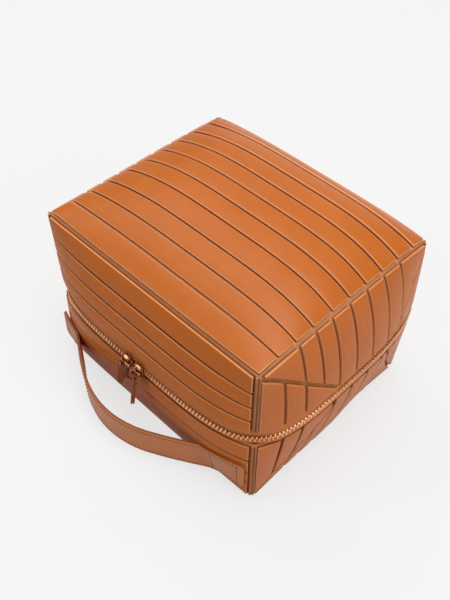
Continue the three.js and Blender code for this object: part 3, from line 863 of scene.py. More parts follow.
# %% The strips of the ends
def cut_strip(surface, y_low, y_high, span, half):
    """An upright strip whose ends follow the span of its panel."""
    a = lines_across(y_high - y_low, END_STEPS[0], STRIP_BORDER)
    first, second = span(y_low + a, **half)
    low, high = np.minimum(first, second), np.maximum(first, second)
    length = (high - low)[:, None]
    b = lines_across(high - low, END_STEPS[1], STRIP_BORDER)
    a = np.broadcast_to(a[:, None], b.shape)
    edge = END_EDGE if half["edge"] > ZIP_HEIGHT else LOW_EDGE
    return strip(surface, y_low, a, y_high - y_low, low[:, None], b, length, edge=edge)


def end_panel(surface, lines, span, half):
    strips = []
    for index in range(len(lines) - 1):
        low = lines[index] + (0 if index == 0 else END_GROOVE / 2)
        high = lines[index + 1] - (0 if index == len(lines) - 2 else END_GROOVE / 2)
        strips.append(cut_strip(surface, low, high, span, half))
    return joined(strips)


def add_end_strips():
    for side, surface in (("right", RIGHT), ("left", LEFT)):
        for part, half in END_HALVES.items():
            panels = {f"{side}_end_{part}": (middle_lines(**half), middle_span)}
            for towards, word in ((-1, "front"), (1, "back")):
                panels[f"{side}_gusset_{word}_{part}"] = (gusset_lines(towards, **half), gusset_span)
            for name, (lines, span) in panels.items():
                made = piece(f"{name}_strips", *strip_parts(end_panel(surface, lines, span, half)))
                stands_for(made, "strip_leather", name)


add_end_strips()

# %% [markdown]
# ## Corner rolls and the base's edge
# At each upright corner the ground is turned over in two narrow rolls, one on either panel, and the seam
# between them is a dark crease. A low dark band of painted shade runs all round the base, where it meets
# the floor. Both are low strips of the same kind as before, in their own materials.

# %% Corner rolls and the base's edge
ROLL_HEIGHT = 1.4
LONG_SIDE_ROLL = (0.2, 1.3)  # from the box's edge
END_ROLL = (0.2, 1.2)
WELT_LEVELS = (0.3, 2.1)
WELT_HEIGHT = 1.3
WELT_SHORT = 3.0
ROLL_GAPS = {"zip": 0.2, "lid": 0.4}
ROLL_STEPS = (3, 30)
WELT_STEPS = (60, 3)
PANELS = ((FRONT, HALF_LENGTH, LONG_SIDE_ROLL), (BACK, HALF_LENGTH, LONG_SIDE_ROLL),
          (RIGHT, HALF_DEPTH, END_ROLL), (LEFT, HALF_DEPTH, END_ROLL))


def corner_rolls():
    rolls = []
    height = even_height(ROLL_HEIGHT)
    below = (WELT_LEVELS[1], LOWER_RIM - ROLL_GAPS["zip"])
    above = (UPPER_RIM + ROLL_GAPS["zip"], HEIGHT - ROLL_GAPS["lid"])
    for surface, half, inset in PANELS:
        inner, outer = half - inset[1], half - inset[0]
        for levels in (below, above):
            for across in ((inner, outer), (-outer, -inner)):
                rolls.append(straight_strip(surface, across, levels, ROLL_STEPS, height))
    return joined(rolls)


# A low dark band round the base, painted shade where the base meets the floor.
def base_welt():
    welts = []
    height = even_height(WELT_HEIGHT)
    for surface, half, _ in PANELS:
        reach = half - WELT_SHORT
        welts.append(straight_strip(surface, (-reach, reach), WELT_LEVELS, WELT_STEPS, height))
    return joined(welts)


rolls = stands_for(piece("corner_rolls", *strip_parts(corner_rolls(), SUEDE)), "ground_leather")
welt = stands_for(piece("base_welt", *strip_parts(base_welt(), BASE_SHADE)), "ground_leather")
print("faces of the rolls and the welt:", len(rolls.data.polygons), len(welt.data.polygons))

# %% [markdown]
# ## The zip
# The zip has two woven tapes that swell to a low ridge, and two rows of metal teeth clamped on their
# inner edges. The teeth repeat along one path, so Geometry Nodes set them: the path becomes a curve,
# the curve is cut into steps of one pitch, and a tooth turned along the path stands on each step.

# %% The zip's path
ZIP_CORNER = 14.0
ZIP_RISE = 2.0  # at the right end, where the zip lies nearer the upper rim
ZIP_RISE_REACH = 70.0
PATH_STEP = 0.5
TURN_STEPS = 24
END_PLACES, FRONT_PLACES = 160, 200  # along an end and the front


def rounded_turn(before, corner, after):
    """Replaces a sharp turn between two runs of points by a smooth curve."""
    start = before[np.linalg.norm(before - corner, axis=1) > ZIP_CORNER]
    finish = after[np.linalg.norm(after - corner, axis=1) > ZIP_CORNER]
    t = np.linspace(0, 1, TURN_STEPS)[1:-1, None]
    curve = (1 - t) ** 2 * start[-1] + 2 * t * (1 - t) * corner + t**2 * finish[0]
    return start, curve, finish


def evenly(points, step):
    """The same path with even steps."""
    run = np.concatenate([[0], np.cumsum(np.linalg.norm(np.diff(points, axis=0), axis=1))])
    places = np.linspace(0, run[-1], max(2, round(run[-1] / step)) + 1)
    return np.stack([np.interp(places, run, points[:, axis]) for axis in range(points.shape[1])], axis=1)


def zip_path():
    deep = np.linspace(ZIP_END_Y, -HALF_DEPTH, END_PLACES)
    left = LEFT(deep, ZIP_HEIGHT)
    front = FRONT(np.linspace(-HALF_LENGTH, HALF_LENGTH, FRONT_PLACES), ZIP_HEIGHT)
    right = RIGHT(deep[::-1], ZIP_HEIGHT)
    right[:, 2] += ZIP_RISE * smooth_share(right[:, 1], -HALF_DEPTH, ZIP_RISE_REACH - HALF_DEPTH)
    left, turn_left, front = rounded_turn(left, front[0], front)
    front, turn_right, right = rounded_turn(front, right[0], right)
    return evenly(np.concatenate([left, turn_left, front, turn_right, right]), PATH_STEP)


ZIP_PATH = zip_path()
ZIP_LENGTH = PATH_STEP * (len(ZIP_PATH) - 1)
print("the zip is", round(ZIP_LENGTH), "mm long")

# %% The zip's tapes
TAPE_TUCK = 0.4  # how far a tape goes behind the wall's rim
TAPE_PROFILE = [  # share of the way from the middle of the zip to the rim, and height over the wall's surface
    (0.015, -0.2), (0.015, 0.8), (0.15, 0.9), (0.28, 1.2), (0.4, 1.3), (0.52, 1.15), (0.6, 1.05), (0.72, 1.0),
    (0.84, 0.9), (0.94, 0.7),
]
TAPE_EDGE = (0.3, -1.0)  # heights of the last two points, which lie behind the wall's rim


def outward_of(path):
    """The level way out at each point of a path."""
    along = np.gradient(path, axis=0)
    out = np.stack([along[:, 1], -along[:, 0], np.zeros(len(path))], axis=1)
    return out / np.linalg.norm(out, axis=1, keepdims=True)


def tape_reach(direction):
    """How far each place on the zip lies from the wall's rim above or below it."""
    x, y, z = ZIP_PATH.T
    rim = UPPER_RIM if direction > 0 else LOWER_RIM
    lift = np.where(x > HALF_LENGTH, end_lift(1, y, rim), 0)
    return direction * (rim + lift - z)


def zip_tape(name, direction):
    profile = np.array(TAPE_PROFILE)
    out = outward_of(ZIP_PATH)
    rise = np.array([0, 0, direction])
    reach = tape_reach(direction)[:, None]
    shares = profile[None, :, :1] * reach[:, None]
    rings = ZIP_PATH[:, None] + shares * rise + profile[None, :, 1:] * out[:, None]
    edge = ZIP_PATH + (reach + TAPE_TUCK) * rise
    rings = np.concatenate([rings, *[(edge + height * out)[:, None] for height in TAPE_EDGE]], axis=1)
    count = rings.shape[1]
    index = np.arange(rings.shape[0] * count).reshape(-1, count)
    following = np.roll(index, -1, axis=1)
    faces = np.stack([index[:-1], index[1:], following[1:], following[:-1]], -1).reshape(-1, 4)
    made = piece(name, rings.reshape(-1, 3), list(faces) + [index[0], index[-1][::-1]], TAPE)
    along = np.arange(len(ZIP_PATH)) * PATH_STEP
    steps = np.linalg.norm(np.diff(rings, axis=1), axis=2)
    across = np.concatenate([np.zeros((len(along), 1)), np.cumsum(steps, axis=1)], axis=1)
    flat = np.stack(np.broadcast_arrays(along[:, None], across), -1).reshape(-1, 2)
    mapped = made.data.uv_layers.new(name="UVMap")
    for loop in made.data.loops:
        mapped.data[loop.index].uv = flat[loop.vertex_index]
    return made


for word, direction in (("upper", 1), ("lower", -1)):
    tape = zip_tape(f"zip_tape_{word}_weave", direction)
    stands_for(tape, "zip_tape", f"zip_tape_{word}")
    print(tape.name, "has", len(tape.data.polygons), "faces")

# %% One tooth
TOOTH_PITCH = 2.55
TOOTH_SIDE = [(0.74, 2.8), (0.74, 0.95), (0.46, 0.45), (0.58, -0.2), (0.34, -0.8)]  # along the zip, and up
TOOTH_LOW, TOOTH_SHOULDER, TOOTH_TOP = 0.8, 1.8, 2.4  # out from the zip's path
TOOTH_BEVEL = 0.64  # the size of a tooth's face, as a share of its outline


def tooth_mesh():
    """An upper tooth with the way out along -Y: a flat element with a chamfered face."""
    mirrored = [(-x, z) for x, z in TOOTH_SIDE]
    outline = np.array([mirrored[0], *TOOTH_SIDE, *mirrored[:0:-1]])
    middle = np.array([0, (TOOTH_SIDE[0][1] + TOOTH_SIDE[-1][1]) / 2])
    inner = middle + (outline - middle) * TOOTH_BEVEL
    layers = [(outline, TOOTH_LOW), (outline, TOOTH_SHOULDER), (inner, TOOTH_TOP)]
    points = [(x, -out, z) for shape, out in layers for x, z in shape]
    count = len(outline)
    faces = [tuple(range(count)), tuple(reversed(range(2 * count, 3 * count)))]
    for layer in range(2):
        for i in range(count):
            low, following = layer * count + i, layer * count + (i + 1) % count
            faces.append((low, low + count, following + count, following))
    mesh = bpy.data.meshes.new("tooth")
    mesh.from_pydata((np.array(points) * MM).tolist(), [], faces)
    face_outwards(mesh)
    return mesh


TOOTH = tooth_mesh()
print("one tooth has", len(TOOTH.polygons), "faces")


# %% A tree that sets pieces along a path
def set_along_tree(name):
    """Sets copies of one object along a path's edges, turned along it and about the attribute flip."""
    tree = bpy.data.node_groups.new(name, "GeometryNodeTree")
    for label, kind in (("Path", "NodeSocketGeometry"), ("Pitch", "NodeSocketFloat"),
                        ("Copy", "NodeSocketObject"), ("Material", "NodeSocketMaterial")):
        tree.interface.new_socket(label, in_out="INPUT", socket_type=kind)
    tree.interface.new_socket("Pieces", in_out="OUTPUT", socket_type="NodeSocketGeometry")
    start, finish = tree.nodes.new("NodeGroupInput"), tree.nodes.new("NodeGroupOutput")
    curve = node(tree, "GeometryNodeMeshToCurve")
    steps = node(tree, "GeometryNodeResampleCurve", mode="LENGTH")
    out = node(tree, "GeometryNodeInputNamedAttribute", data_type="FLOAT_VECTOR")
    out.inputs["Name"].default_value = "out"
    flip = node(tree, "GeometryNodeInputNamedAttribute", data_type="FLOAT")
    flip.inputs["Name"].default_value = "flip"
    face_out = node(tree, "FunctionNodeAlignRotationToVector", axis="Y", pivot_axis="AUTO")
    back = node(tree, "ShaderNodeVectorMath", operation="SCALE")
    back.inputs["Scale"].default_value = -1
    along = node(tree, "FunctionNodeAlignRotationToVector", axis="X", pivot_axis="Y")
    turned = node(tree, "FunctionNodeRotateRotation", rotation_space="LOCAL")
    half_turn = node(tree, "ShaderNodeMath", operation="MULTIPLY")
    half_turn.inputs[1].default_value = math.pi
    about = node(tree, "FunctionNodeAxisAngleToRotation")
    about.inputs["Axis"].default_value = (0, 1, 0)
    copy = node(tree, "GeometryNodeObjectInfo")
    put = node(tree, "GeometryNodeInstanceOnPoints")
    real = node(tree, "GeometryNodeRealizeInstances")
    finish_of = node(tree, "GeometryNodeSetMaterial")
    wire(tree, start.outputs["Path"], curve.inputs["Mesh"])
    wire(tree, curve.outputs["Curve"], steps.inputs["Curve"])
    wire(tree, start.outputs["Pitch"], steps.inputs["Length"])
    wire(tree, out.outputs["Attribute"], back.inputs[0])
    wire(tree, back.outputs["Vector"], face_out.inputs["Vector"])
    wire(tree, face_out.outputs["Rotation"], along.inputs["Rotation"])
    wire(tree, tree.nodes.new("GeometryNodeInputTangent").outputs["Tangent"], along.inputs["Vector"])
    wire(tree, flip.outputs["Attribute"], half_turn.inputs[0])
    wire(tree, half_turn.outputs[0], about.inputs["Angle"])
    wire(tree, along.outputs["Rotation"], turned.inputs["Rotation"])
    wire(tree, about.outputs["Rotation"], turned.inputs["Rotate By"])
    wire(tree, start.outputs["Copy"], copy.inputs["Object"])
    wire(tree, steps.outputs["Curve"], put.inputs["Points"])
    wire(tree, copy.outputs["Geometry"], put.inputs["Instance"])
    wire(tree, turned.outputs["Rotation"], put.inputs["Rotation"])
    wire(tree, put.outputs["Instances"], real.inputs["Geometry"])
    wire(tree, real.outputs["Geometry"], finish_of.inputs["Geometry"])
    wire(tree, start.outputs["Material"], finish_of.inputs["Material"])
    wire(tree, finish_of.outputs["Geometry"], finish.inputs["Pieces"])
    return tree


SET_ALONG = set_along_tree("set along a path")
print("tree made:", SET_ALONG.name, "with", len(SET_ALONG.nodes), "nodes")


# %% Setting copies along paths
def set_along(name, paths, copy_mesh, pitch, material):
    """One plain mesh of copies along several paths. A path is its points, its ways out and its flip."""
    points, ways, flips, edges = [], [], [], []
    for path, out, flip in paths:
        first = sum(map(len, points))
        edges += [(first + i, first + i + 1) for i in range(len(path) - 1)]
        points.append(path)
        ways.append(out)
        flips.append(np.full(len(path), float(flip)))
    mesh = bpy.data.meshes.new(f"{name}_path")
    mesh.from_pydata((np.concatenate(points) * MM).tolist(), edges, [])
    out_values = mesh.attributes.new("out", "FLOAT_VECTOR", "POINT").data
    out_values.foreach_set("vector", np.concatenate(ways).ravel())
    flip_values = mesh.attributes.new("flip", "FLOAT", "POINT").data
    flip_values.foreach_set("value", np.concatenate(flips))
    path_object = bpy.data.objects.new(f"{name}_path", mesh)
    copy = bpy.data.objects.new(f"{name}_copy", copy_mesh)
    bpy.context.collection.objects.link(path_object)
    bpy.context.collection.objects.link(copy)
    setter = path_object.modifiers.new("set along", "NODES")
    setter.node_group = SET_ALONG
    inputs = [item for item in SET_ALONG.interface.items_tree if item.in_out == "INPUT"]
    sockets = {item.name: item.identifier for item in inputs}
    setter[sockets["Pitch"]] = pitch * MM
    setter[sockets["Copy"]] = copy
    setter[sockets["Material"]] = material
    evaluated = path_object.evaluated_get(bpy.context.evaluated_depsgraph_get())
    plain = bpy.data.meshes.new_from_object(evaluated)
    plain.name = name
    for spare in (path_object, copy):
        bpy.data.objects.remove(spare)
    for attribute in ("out", "flip"):
        if attribute in plain.attributes:
            plain.attributes.remove(plain.attributes[attribute])
    made = bpy.data.objects.new(name, plain)
    bpy.context.collection.objects.link(made)
    return made


# %% The rows of teeth
def teeth_paths():
    out = outward_of(ZIP_PATH)
    half_step = round(TOOTH_PITCH / 2 / PATH_STEP)
    whole = slice(2 * half_step, -2 * half_step)
    moved = slice(3 * half_step, -half_step)
    return [(ZIP_PATH[whole], out[whole], 0), (ZIP_PATH[moved], out[moved], 1)]


teeth = set_along("zip_teeth", teeth_paths(), TOOTH, TOOTH_PITCH, COPPER)
stands_for(teeth, "copper_metal", "zip_chain")
print("the teeth have", len(teeth.data.polygons), "faces")

# %% [markdown]
# ## Sliders, rings and pulls
# Two sliders meet a little left of the middle of the front. Each is a cast body that grips the teeth
# with a shoulder above and below, and a bail on its face holds a ring. On the ring hangs a pull of
# leather, folded round the wire so that its two layers lie together. Flat castings are drawn as
# outlines, given depth and rounded along all their edges, while the pull is a band like the strap.


# %% Castings
def casting(outline, depth, place, rounding):
    """A flat shape with rounded edges: the outline's two directions and the depth are set by place."""
    shape = bmesh.new()
    layers = [[shape.verts.new(place(a, b, d)) for a, b in outline] for d in depth]
    shape.faces.new(layers[0])
    shape.faces.new(layers[1][::-1])
    for i in range(len(outline)):
        j = (i + 1) % len(outline)
        shape.faces.new((layers[0][j], layers[0][i], layers[1][i], layers[1][j]))
    bmesh.ops.bevel(shape, geom=list(shape.edges), offset=rounding, segments=3, profile=0.5, affect="EDGES")
    shape.verts.index_update()
    points = np.array([v.co[:] for v in shape.verts])
    faces = [[v.index for v in face.verts] for face in shape.faces]
    shape.free()
    return points, faces


def many(parts):
    """Several sets of points and faces of any size as one."""
    points, faces = [], []
    for some_points, some_faces in parts:
        start = sum(map(len, points))
        points.append(some_points)
        faces += [[start + i for i in face] for face in some_faces]
    return np.concatenate(points), faces


# %% The sliders
SLIDERS = {"left": -5.7, "right": 3.7}
NOSES = {"left": 1, "right": -1}  # the two noses point at each other
SLIDER_SEAT = 2.4
PLATE_OUTLINE = [(-4.6, -2.2), (-2.3, -3.8), (4.6, -3.8), (4.6, 3.8), (-2.3, 3.8), (-4.6, 2.2)]
PLATE_DEPTH = (0.0, 1.5)
SHOULDER_OUTLINE = [(0.2, 3.0), (0.2, 4.3), (0.7, 4.5), (2.8, 3.1), (2.8, 2.0)]  # out, and up from the middle
SHOULDER_SPAN = (-2.3, 4.4)
BAIL_OUTLINE = [(-4.3, 1.2), (-3.1, 1.2), (-3.1, 3.0), (3.1, 3.0), (3.1, 1.2),
                (4.3, 1.2), (4.3, 3.4), (3.5, 4.2), (-3.5, 4.2), (-4.3, 3.4)]
BAIL_HALF_WIDTH = 1.0
CAST_ROUND = 0.3
SHOULDER_ROUND = 0.2


def slider(x, nose):
    """The body over the teeth, its two sloping shoulders and the bail, with the way out along -Y."""
    seat = float(FRONT(x, ZIP_HEIGHT)[1]) - SLIDER_SEAT
    parts = [casting(PLATE_OUTLINE, PLATE_DEPTH,
                     lambda a, b, d: (x - nose * a, seat - d, ZIP_HEIGHT + b), CAST_ROUND)]
    for way in (-1, 1):
        parts.append(casting(SHOULDER_OUTLINE, SHOULDER_SPAN,
                             lambda a, b, d: (x - nose * d, seat - a, ZIP_HEIGHT + way * b), SHOULDER_ROUND))
    parts.append(casting(BAIL_OUTLINE, (-BAIL_HALF_WIDTH, BAIL_HALF_WIDTH),
                         lambda a, b, d: (x + a, seat - b, ZIP_HEIGHT + d), CAST_ROUND))
    return many(parts)


for word, x in SLIDERS.items():
    made = piece(f"slider_{word}_body", *slider(x, NOSES[word]), CAST_COPPER)
    stands_for(made, "copper_metal", f"slider_{word}")
    print(made.name, "has", len(made.data.polygons), "faces")

# %% The rings
RING_RADIUS = 3.4
RING_WIRE = 0.7
RING_FLATNESS = 0.8
RING_STEPS = (40, 14)  # round the ring, and round its wire
BAR_OUT = 3.6  # from the slider's seat to the middle of the bail's bar
HANGING = {  # where the ring sits, its drop and turn, and how its pull is turned, leans and opens
    "left": {"x": SLIDERS["left"] - 2.6, "drop": 0.3, "ring": 0.35,
             "turn": 0.75, "lean": (-6.0, 2.0), "open": 0.4},
    "right": {"x": SLIDERS["right"], "drop": -0.6, "ring": -0.7,
              "turn": -0.75, "lean": (-0.4, -4.2), "open": 0.0},
}


def hang_point(x, drop):
    """The middle of a ring, near the middle of the bail's bar."""
    return np.array([x, float(FRONT(x, ZIP_HEIGHT)[1]) - SLIDER_SEAT - BAR_OUT, ZIP_HEIGHT - drop])


def ring(x, drop, turn):
    """A wire ring that hangs in an upright plane, turned about its own upright line."""
    turns = [np.linspace(0, 2 * np.pi, steps, endpoint=False) for steps in RING_STEPS]
    around, wire_around = np.meshgrid(*turns, indexing="ij")
    reach = RING_RADIUS + RING_WIRE * np.cos(wire_around)
    deep = reach * np.sin(around) * RING_FLATNESS
    aside = RING_WIRE * np.sin(wire_around)
    flat = np.stack([aside * np.cos(turn) - deep * np.sin(turn), aside * np.sin(turn) + deep * np.cos(turn),
                     reach * np.cos(around)], -1)
    index = np.arange(flat[..., 0].size).reshape(around.shape)
    right, up = np.roll(index, -1, axis=0), np.roll(index, -1, axis=1)
    faces = np.stack([index, right, np.roll(right, -1, axis=1), up], -1).reshape(-1, 4)
    return hang_point(x, drop) + flat.reshape(-1, 3), faces


for word, facts in HANGING.items():
    made = piece(f"ring_{word}_wire", *ring(facts["x"], facts["drop"], facts["ring"]), CAST_COPPER)
    stands_for(made, "copper_metal", f"ring_{word}")
    print(made.name, "has", len(made.data.polygons), "faces")


# %% Bands of leather
PAINT_REACH = 0.2
BAND_STEPS = 6  # across a band


def band(place, length, width, thickness, corner, rounding, border, steps, painted=0.0):
    """A flat band with rounded edges and ends. place(a, b, out) puts a point along, across and out."""
    a = lines_across(length, steps, border)
    b = lines_across(width(a), BAND_STEPS, border)
    span = width(a)[:, None]
    along, across, distance = soft_corners(np.broadcast_to(a[:, None], b.shape), length, b, span, corner)
    drop = round_drop(distance, rounding)
    outer = place(along, across - span / 2, thickness - drop)
    inner = place(along, across - span / 2, drop)
    points, faces = closed_slab(outer, inner)
    edge = np.where(distance.ravel() < PAINT_REACH, painted, 0.0)
    return points, faces, np.concatenate([edge, edge])


# %% The pulls
PULL_LENGTH = 25.0
PULL_TOP, PULL_BOTTOM = 6.0, 6.8
PULL_LAYER = 1.25
PULL_FOLD = 0.8
PULL_CLOSING = 3.0  # over what length the layers come together below the ring
PULL_GAP = 0.05
PULL_CORNER = 2.6
PULL_ROUND = 0.35
PULL_STEPS = 60
PULL_BORDER = (0.0, 0.08, 0.25, 0.5, 0.9, 1.4)


def pull(facts):
    """A band folded round the ring's wire. Its layers may part at their ends, the front one slimmer."""
    turn, lean = facts["turn"], facts["lean"]
    hook = hang_point(facts["x"], facts["drop"]) - (0, 0, RING_RADIUS)
    arc = math.pi * PULL_FOLD
    whole = 2 * PULL_LENGTH + arc
    wide = np.array([math.cos(turn), math.sin(turn), 0])
    forward = np.array([math.sin(turn), -math.cos(turn), 0])

    def width(a):
        return PULL_TOP + (PULL_BOTTOM - PULL_TOP) * np.abs(a - whole / 2) / (whole / 2)

    def place(a, b, out):
        run = a - whole / 2
        angle = np.clip(run / PULL_FOLD, -math.pi / 2, math.pi / 2)
        below = np.maximum(0, np.abs(run) - arc / 2)
        closing = np.maximum(0, 1 - below / PULL_CLOSING) ** 2
        gap = np.where(below > 0, PULL_FOLD * closing + PULL_GAP, PULL_FOLD) + out
        away = -np.sin(angle) * gap
        up = np.cos(angle) * (PULL_FOLD + out) - below
        share = below / PULL_LENGTH
        twist = np.where(run < 0, 1, -1) * facts["open"] * share * (2 - share)
        slim = np.where(run < 0, 1 - facts["open"] * share, 1)
        from_left = (b + width(a) / 2) * slim
        b = from_left * np.cos(twist) - width(a) / 2
        away = away + from_left * np.sin(twist)
        hang = np.stack([share * lean[0], share * lean[1], up], -1)
        return hook + away[..., None] * forward + b[..., None] * wide + hang

    return band(place, whole, width, PULL_LAYER, PULL_CORNER, PULL_ROUND, PULL_BORDER, PULL_STEPS)


for word, facts in HANGING.items():
    made = piece(f"pull_{word}_leather", *strip_parts(pull(facts), SHADED_PULL_LEATHER))
    stands_for(made, "strip_leather", f"pull_{word}")
    print(made.name, "has", len(made.data.polygons), "faces")

# %% [markdown]
# ## The carrying strap
# A flat strap of two layers stands on edge in front of the bag, with its ends laid on the lowest front
# strip and sewn there. Its route is a short table of places from left to right, joined by a smooth
# curve. Rows of stitches follow its edges and cross it at its sewn ends, set by the same tree as the
# teeth, with a stitch in place of a tooth.

# %% The strap's route
STRAP_WIDTH = 23.5
STRAP_THICKNESS = 1.9
STRAP_ROUTE = np.array([  # x, y and z of the middle of the inner face, and how far the top edge leans out
    (-91, -76, 24.8, 0), (-77, -78, 24, 0.3), (-66, -84, 21, 0.8), (-50, -93.9, 18, 0.8),
    (-34, -101.6, 16, 0.8), (-18, -105.5, 15.2, 0.5), (-4, -105.6, 15, 0.3), (12, -102.4, 15.4, 0),
    (30, -94.8, 16.6, 0), (48, -86, 18.8, 0), (62, -80, 21.8, 0), (74, -78, 24.2, 0), (87, -76, 25.2, 0)])
STRAP_CLEARANCE = 0.1
ROUTE_STEPS = 400
STRAP_SEAT = STRIP_TOP + CROWN + STRAP_CLEARANCE


def smooth_route(rows, count):
    """A smooth curve through the rows, with even steps along it."""
    run = np.concatenate([[0], np.cumsum(np.linalg.norm(np.diff(rows[:, :3], axis=0), axis=1))])
    slope = np.gradient(rows, run, axis=0)
    places = np.linspace(0, run[-1], 20 * count)
    i = np.clip(np.searchsorted(run, places, side="right") - 1, 0, len(run) - 2)
    step = (run[i + 1] - run[i])[:, None]
    t = ((places - run[i]) / step[:, 0])[:, None]
    curve = (2 * t**3 - 3 * t**2 + 1) * rows[i] + (t**3 - 2 * t**2 + t) * step * slope[i]
    curve += (3 * t**2 - 2 * t**3) * rows[i + 1] + (t**3 - t**2) * step * slope[i + 1]
    length = np.linalg.norm(np.diff(curve[:, :3], axis=0), axis=1).sum()
    return evenly(curve, length / count), length


ROUTE, STRAP_LENGTH = smooth_route(STRAP_ROUTE.astype(float), ROUTE_STEPS)
ROUTE_RUN = np.linspace(0, STRAP_LENGTH, len(ROUTE))
print("the strap is", round(float(STRAP_LENGTH)), "mm long")


def along_route(a, column):
    return np.interp(a, ROUTE_RUN, ROUTE[:, column])


def strap_out(a):
    """The level way out of the strap at a place along it."""
    along = np.stack([along_route(a + 1, c) - along_route(a - 1, c) for c in (0, 1)], -1)
    along /= np.linalg.norm(along, axis=-1, keepdims=True)
    return np.stack([along[..., 1], -along[..., 0], np.zeros_like(a)], -1)


def on_strap(a, b, out):
    """A point on the strap: along it, up from its middle, and out from its inner face."""
    way = strap_out(a)
    lean = along_route(a, 3) * b / STRAP_WIDTH
    x = along_route(a, 0) + way[..., 0] * lean
    z = along_route(a, 2) + b
    seat = FRONT(x, z)[..., 1] - STRAP_SEAT
    y = np.minimum(along_route(a, 1) + way[..., 1] * lean, seat)
    return np.stack([x, y, z], -1) + way * np.asarray(out)[..., None]


# %% The strap
STRAP_BORDER = (0.0, 0.12, 0.4, 0.8, 1.4, 2.2, 3.2)
STRAP_CORNER = 3.2
STRAP_ROUND = 0.4
STRAP_STEPS = 150
STRAP_PAINT = 1.8  # how dark its cut edge is painted


def strap_width(a):
    return np.full_like(a, STRAP_WIDTH)


slab = band(on_strap, STRAP_LENGTH, strap_width, STRAP_THICKNESS, STRAP_CORNER, STRAP_ROUND, STRAP_BORDER,
            STRAP_STEPS, STRAP_PAINT)
strap = piece("handle_strap_leather", *strip_parts(slab, SHEENED_STRAP_LEATHER))
stands_for(strap, "strip_leather", "handle_strap")
print(strap.name, "has", len(strap.data.polygons), "faces")

# %% The strap's stitches
STITCH_PITCH = 2.6
STITCH_LENGTH = 1.8
STITCH_WIDTH = 0.6
STITCH_HEIGHT = 0.5
EDGE_ROW = 2.0
ROW_START = 2.0  # how much further from the strap's ends its edge rows start
CROSS_SHORT = 1.0  # how much sooner the rows across it end
ROW_STEP = 0.5
CROSS_ROWS = (4.6, 25.0)  # from each end of the strap
TACKS = {"x": (85.6, 86.8), "levels": (30.3, 29.7, 18.8, 18.2)}  # beside the strap's right end


def stitch_mesh():
    """One stitch: a small bead of thread, long, narrow and low."""
    shape = bmesh.new()
    bmesh.ops.create_uvsphere(shape, u_segments=8, v_segments=5, radius=0.5)
    bmesh.ops.scale(shape, vec=Vector((STITCH_LENGTH, STITCH_HEIGHT, STITCH_WIDTH)) * MM, verts=shape.verts)
    mesh = bpy.data.meshes.new("stitch")
    shape.to_mesh(mesh)
    shape.free()
    mesh.polygons.foreach_set("use_smooth", np.ones(len(mesh.polygons), bool))
    return mesh


def row_along(b, start, finish):
    a = np.arange(start, finish, ROW_STEP)
    return on_strap(a, np.full_like(a, b), np.full_like(a, STRAP_THICKNESS)), strap_out(a), 0


def row_across(a, low, high):
    b = np.arange(low, high, ROW_STEP)
    return on_strap(np.full_like(b, a), b, np.full_like(b, STRAP_THICKNESS)), strap_out(np.full_like(b, a)), 0


def stitch_rows():
    edge = STRAP_WIDTH / 2 - EDGE_ROW
    start = EDGE_ROW + ROW_START
    rows = [row_along(b, start, STRAP_LENGTH - start) for b in (-edge, edge)]
    for from_end in CROSS_ROWS:
        for a in (from_end, STRAP_LENGTH - from_end):
            rows.append(row_across(a, CROSS_SHORT - edge, edge - CROSS_SHORT))
    for level in TACKS["levels"]:
        x = np.array(TACKS["x"])
        rows.append((lifted(FRONT, x, np.full(2, level), STRIP_TOP), np.array([[0, -1.0, 0]] * 2), 0))
    return rows


stitches = set_along("handle_stitches", stitch_rows(), stitch_mesh(), STITCH_PITCH, THREAD)
stands_for(stitches, "strip_leather")
print("the stitches have", len(stitches.data.polygons), "faces")

# %% [markdown]
# ## Floor and light
# The bag stands on a pale floor, as on a light table. The floor glows for the camera, so that the
# background is white and shadows stay light, and faintly where the bag mirrors it. A Light Path node
# keeps that glow from lighting the leather. Large soft lamps overhead, at the left and behind brighten
# the lid, two at the right lift that end, and a small one in front draws glints on the metal.

# %% The floor
FLOOR_HALF = 3.0
FLOOR_GLOW = 0.71  # for the camera only
FLOOR_GLINT = 0.18  # how much the floor also glows where the bag mirrors it
FLOOR_SEEN = 0.22  # how pale the floor is for the camera, which also sees it glow
FLOOR_ROUND = 0.72  # and how pale it is for the bag, on which it only throws back light


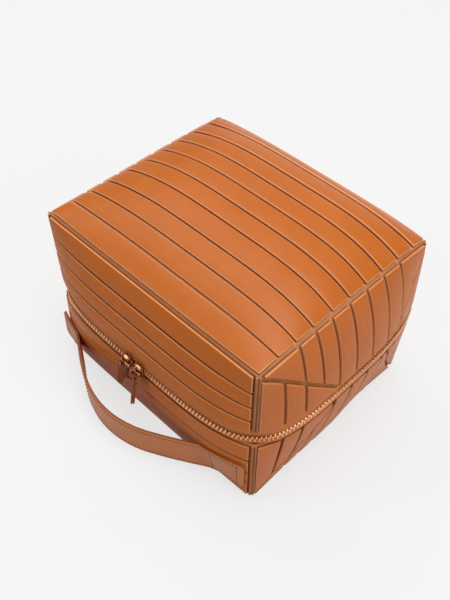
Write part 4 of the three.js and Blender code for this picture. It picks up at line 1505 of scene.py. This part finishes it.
def pale_floor():
    mesh = bpy.data.meshes.new("floor")
    half = FLOOR_HALF
    corners = [(-half, -half, 0), (half, -half, 0), (half, half, 0), (-half, half, 0)]
    mesh.from_pydata(corners, [], [(0, 1, 2, 3)])
    material, tree, shader = new_material("pale floor")
    shader.inputs["Roughness"].default_value = 0.9
    shader.inputs["Specular IOR Level"].default_value = 0.1
    shader.inputs["Emission Color"].default_value = (1, 1, 1, 1)
    path = node(tree, "ShaderNodeLightPath")
    seen = path.outputs["Is Camera Ray"]
    glint = node(tree, "ShaderNodeMath", operation="MULTIPLY")
    glint.inputs[1].default_value = FLOOR_GLINT
    wire(tree, path.outputs["Is Glossy Ray"], glint.inputs[0])
    glow = node(tree, "ShaderNodeMath", operation="MULTIPLY_ADD")
    glow.inputs[1].default_value = FLOOR_GLOW
    wire(tree, seen, glow.inputs[0])
    wire(tree, glint.outputs[0], glow.inputs[2])
    wire(tree, glow.outputs[0], shader.inputs["Emission Strength"])
    wire(tree, mixed(tree, seen, (FLOOR_ROUND,) * 3, (FLOOR_SEEN,) * 3), shader.inputs["Base Color"])
    mesh.materials.append(material)
    floor = bpy.data.objects.new("floor", mesh)
    bpy.context.collection.objects.link(floor)


pale_floor()
print("the floor is", 2 * FLOOR_HALF, "m wide")

# %% The lamps
SKY_STRENGTH = 0.15
AIM = (0, 0, 0.08)
LAMPS = {  # place in metres, size and power
    "overhead": ((0.25, 0.1, 1.7), 1.2, 13.8),
    "side": ((1.5, -0.2, 1.2), 1.0, 6),
    "low side": ((1.3, 0.1, 0.3), 0.7, 1.8),
    "card": ((-0.9, 0.25, 1.5), 1.4, 8),
    "backdrop": ((-0.8, 1.6, 0.5), 1.5, 4),
    "front": ((-0.8, -1.03, 1.09), 0.36, 3.2),
}


def lamp(name, place, size, power):
    light = bpy.data.lights.new(name, "AREA")
    light.shape = "DISK"
    light.size = size
    light.energy = power
    holder = bpy.data.objects.new(name, light)
    holder.location = place
    holder.rotation_euler = (Vector(AIM) - Vector(place)).to_track_quat("-Z", "Y").to_euler()
    bpy.context.collection.objects.link(holder)


def even_sky(strength):
    world = bpy.data.worlds.new("even sky")
    world.use_nodes = True
    background = world.node_tree.nodes["Background"]
    background.inputs["Color"].default_value = (1, 1, 1, 1)
    background.inputs["Strength"].default_value = strength
    bpy.context.scene.world = world


even_sky(SKY_STRENGTH)
for name, facts in LAMPS.items():
    lamp(name, *facts)
bpy.context.scene.view_settings.view_transform = "Standard"
print("lamps:", list(LAMPS))
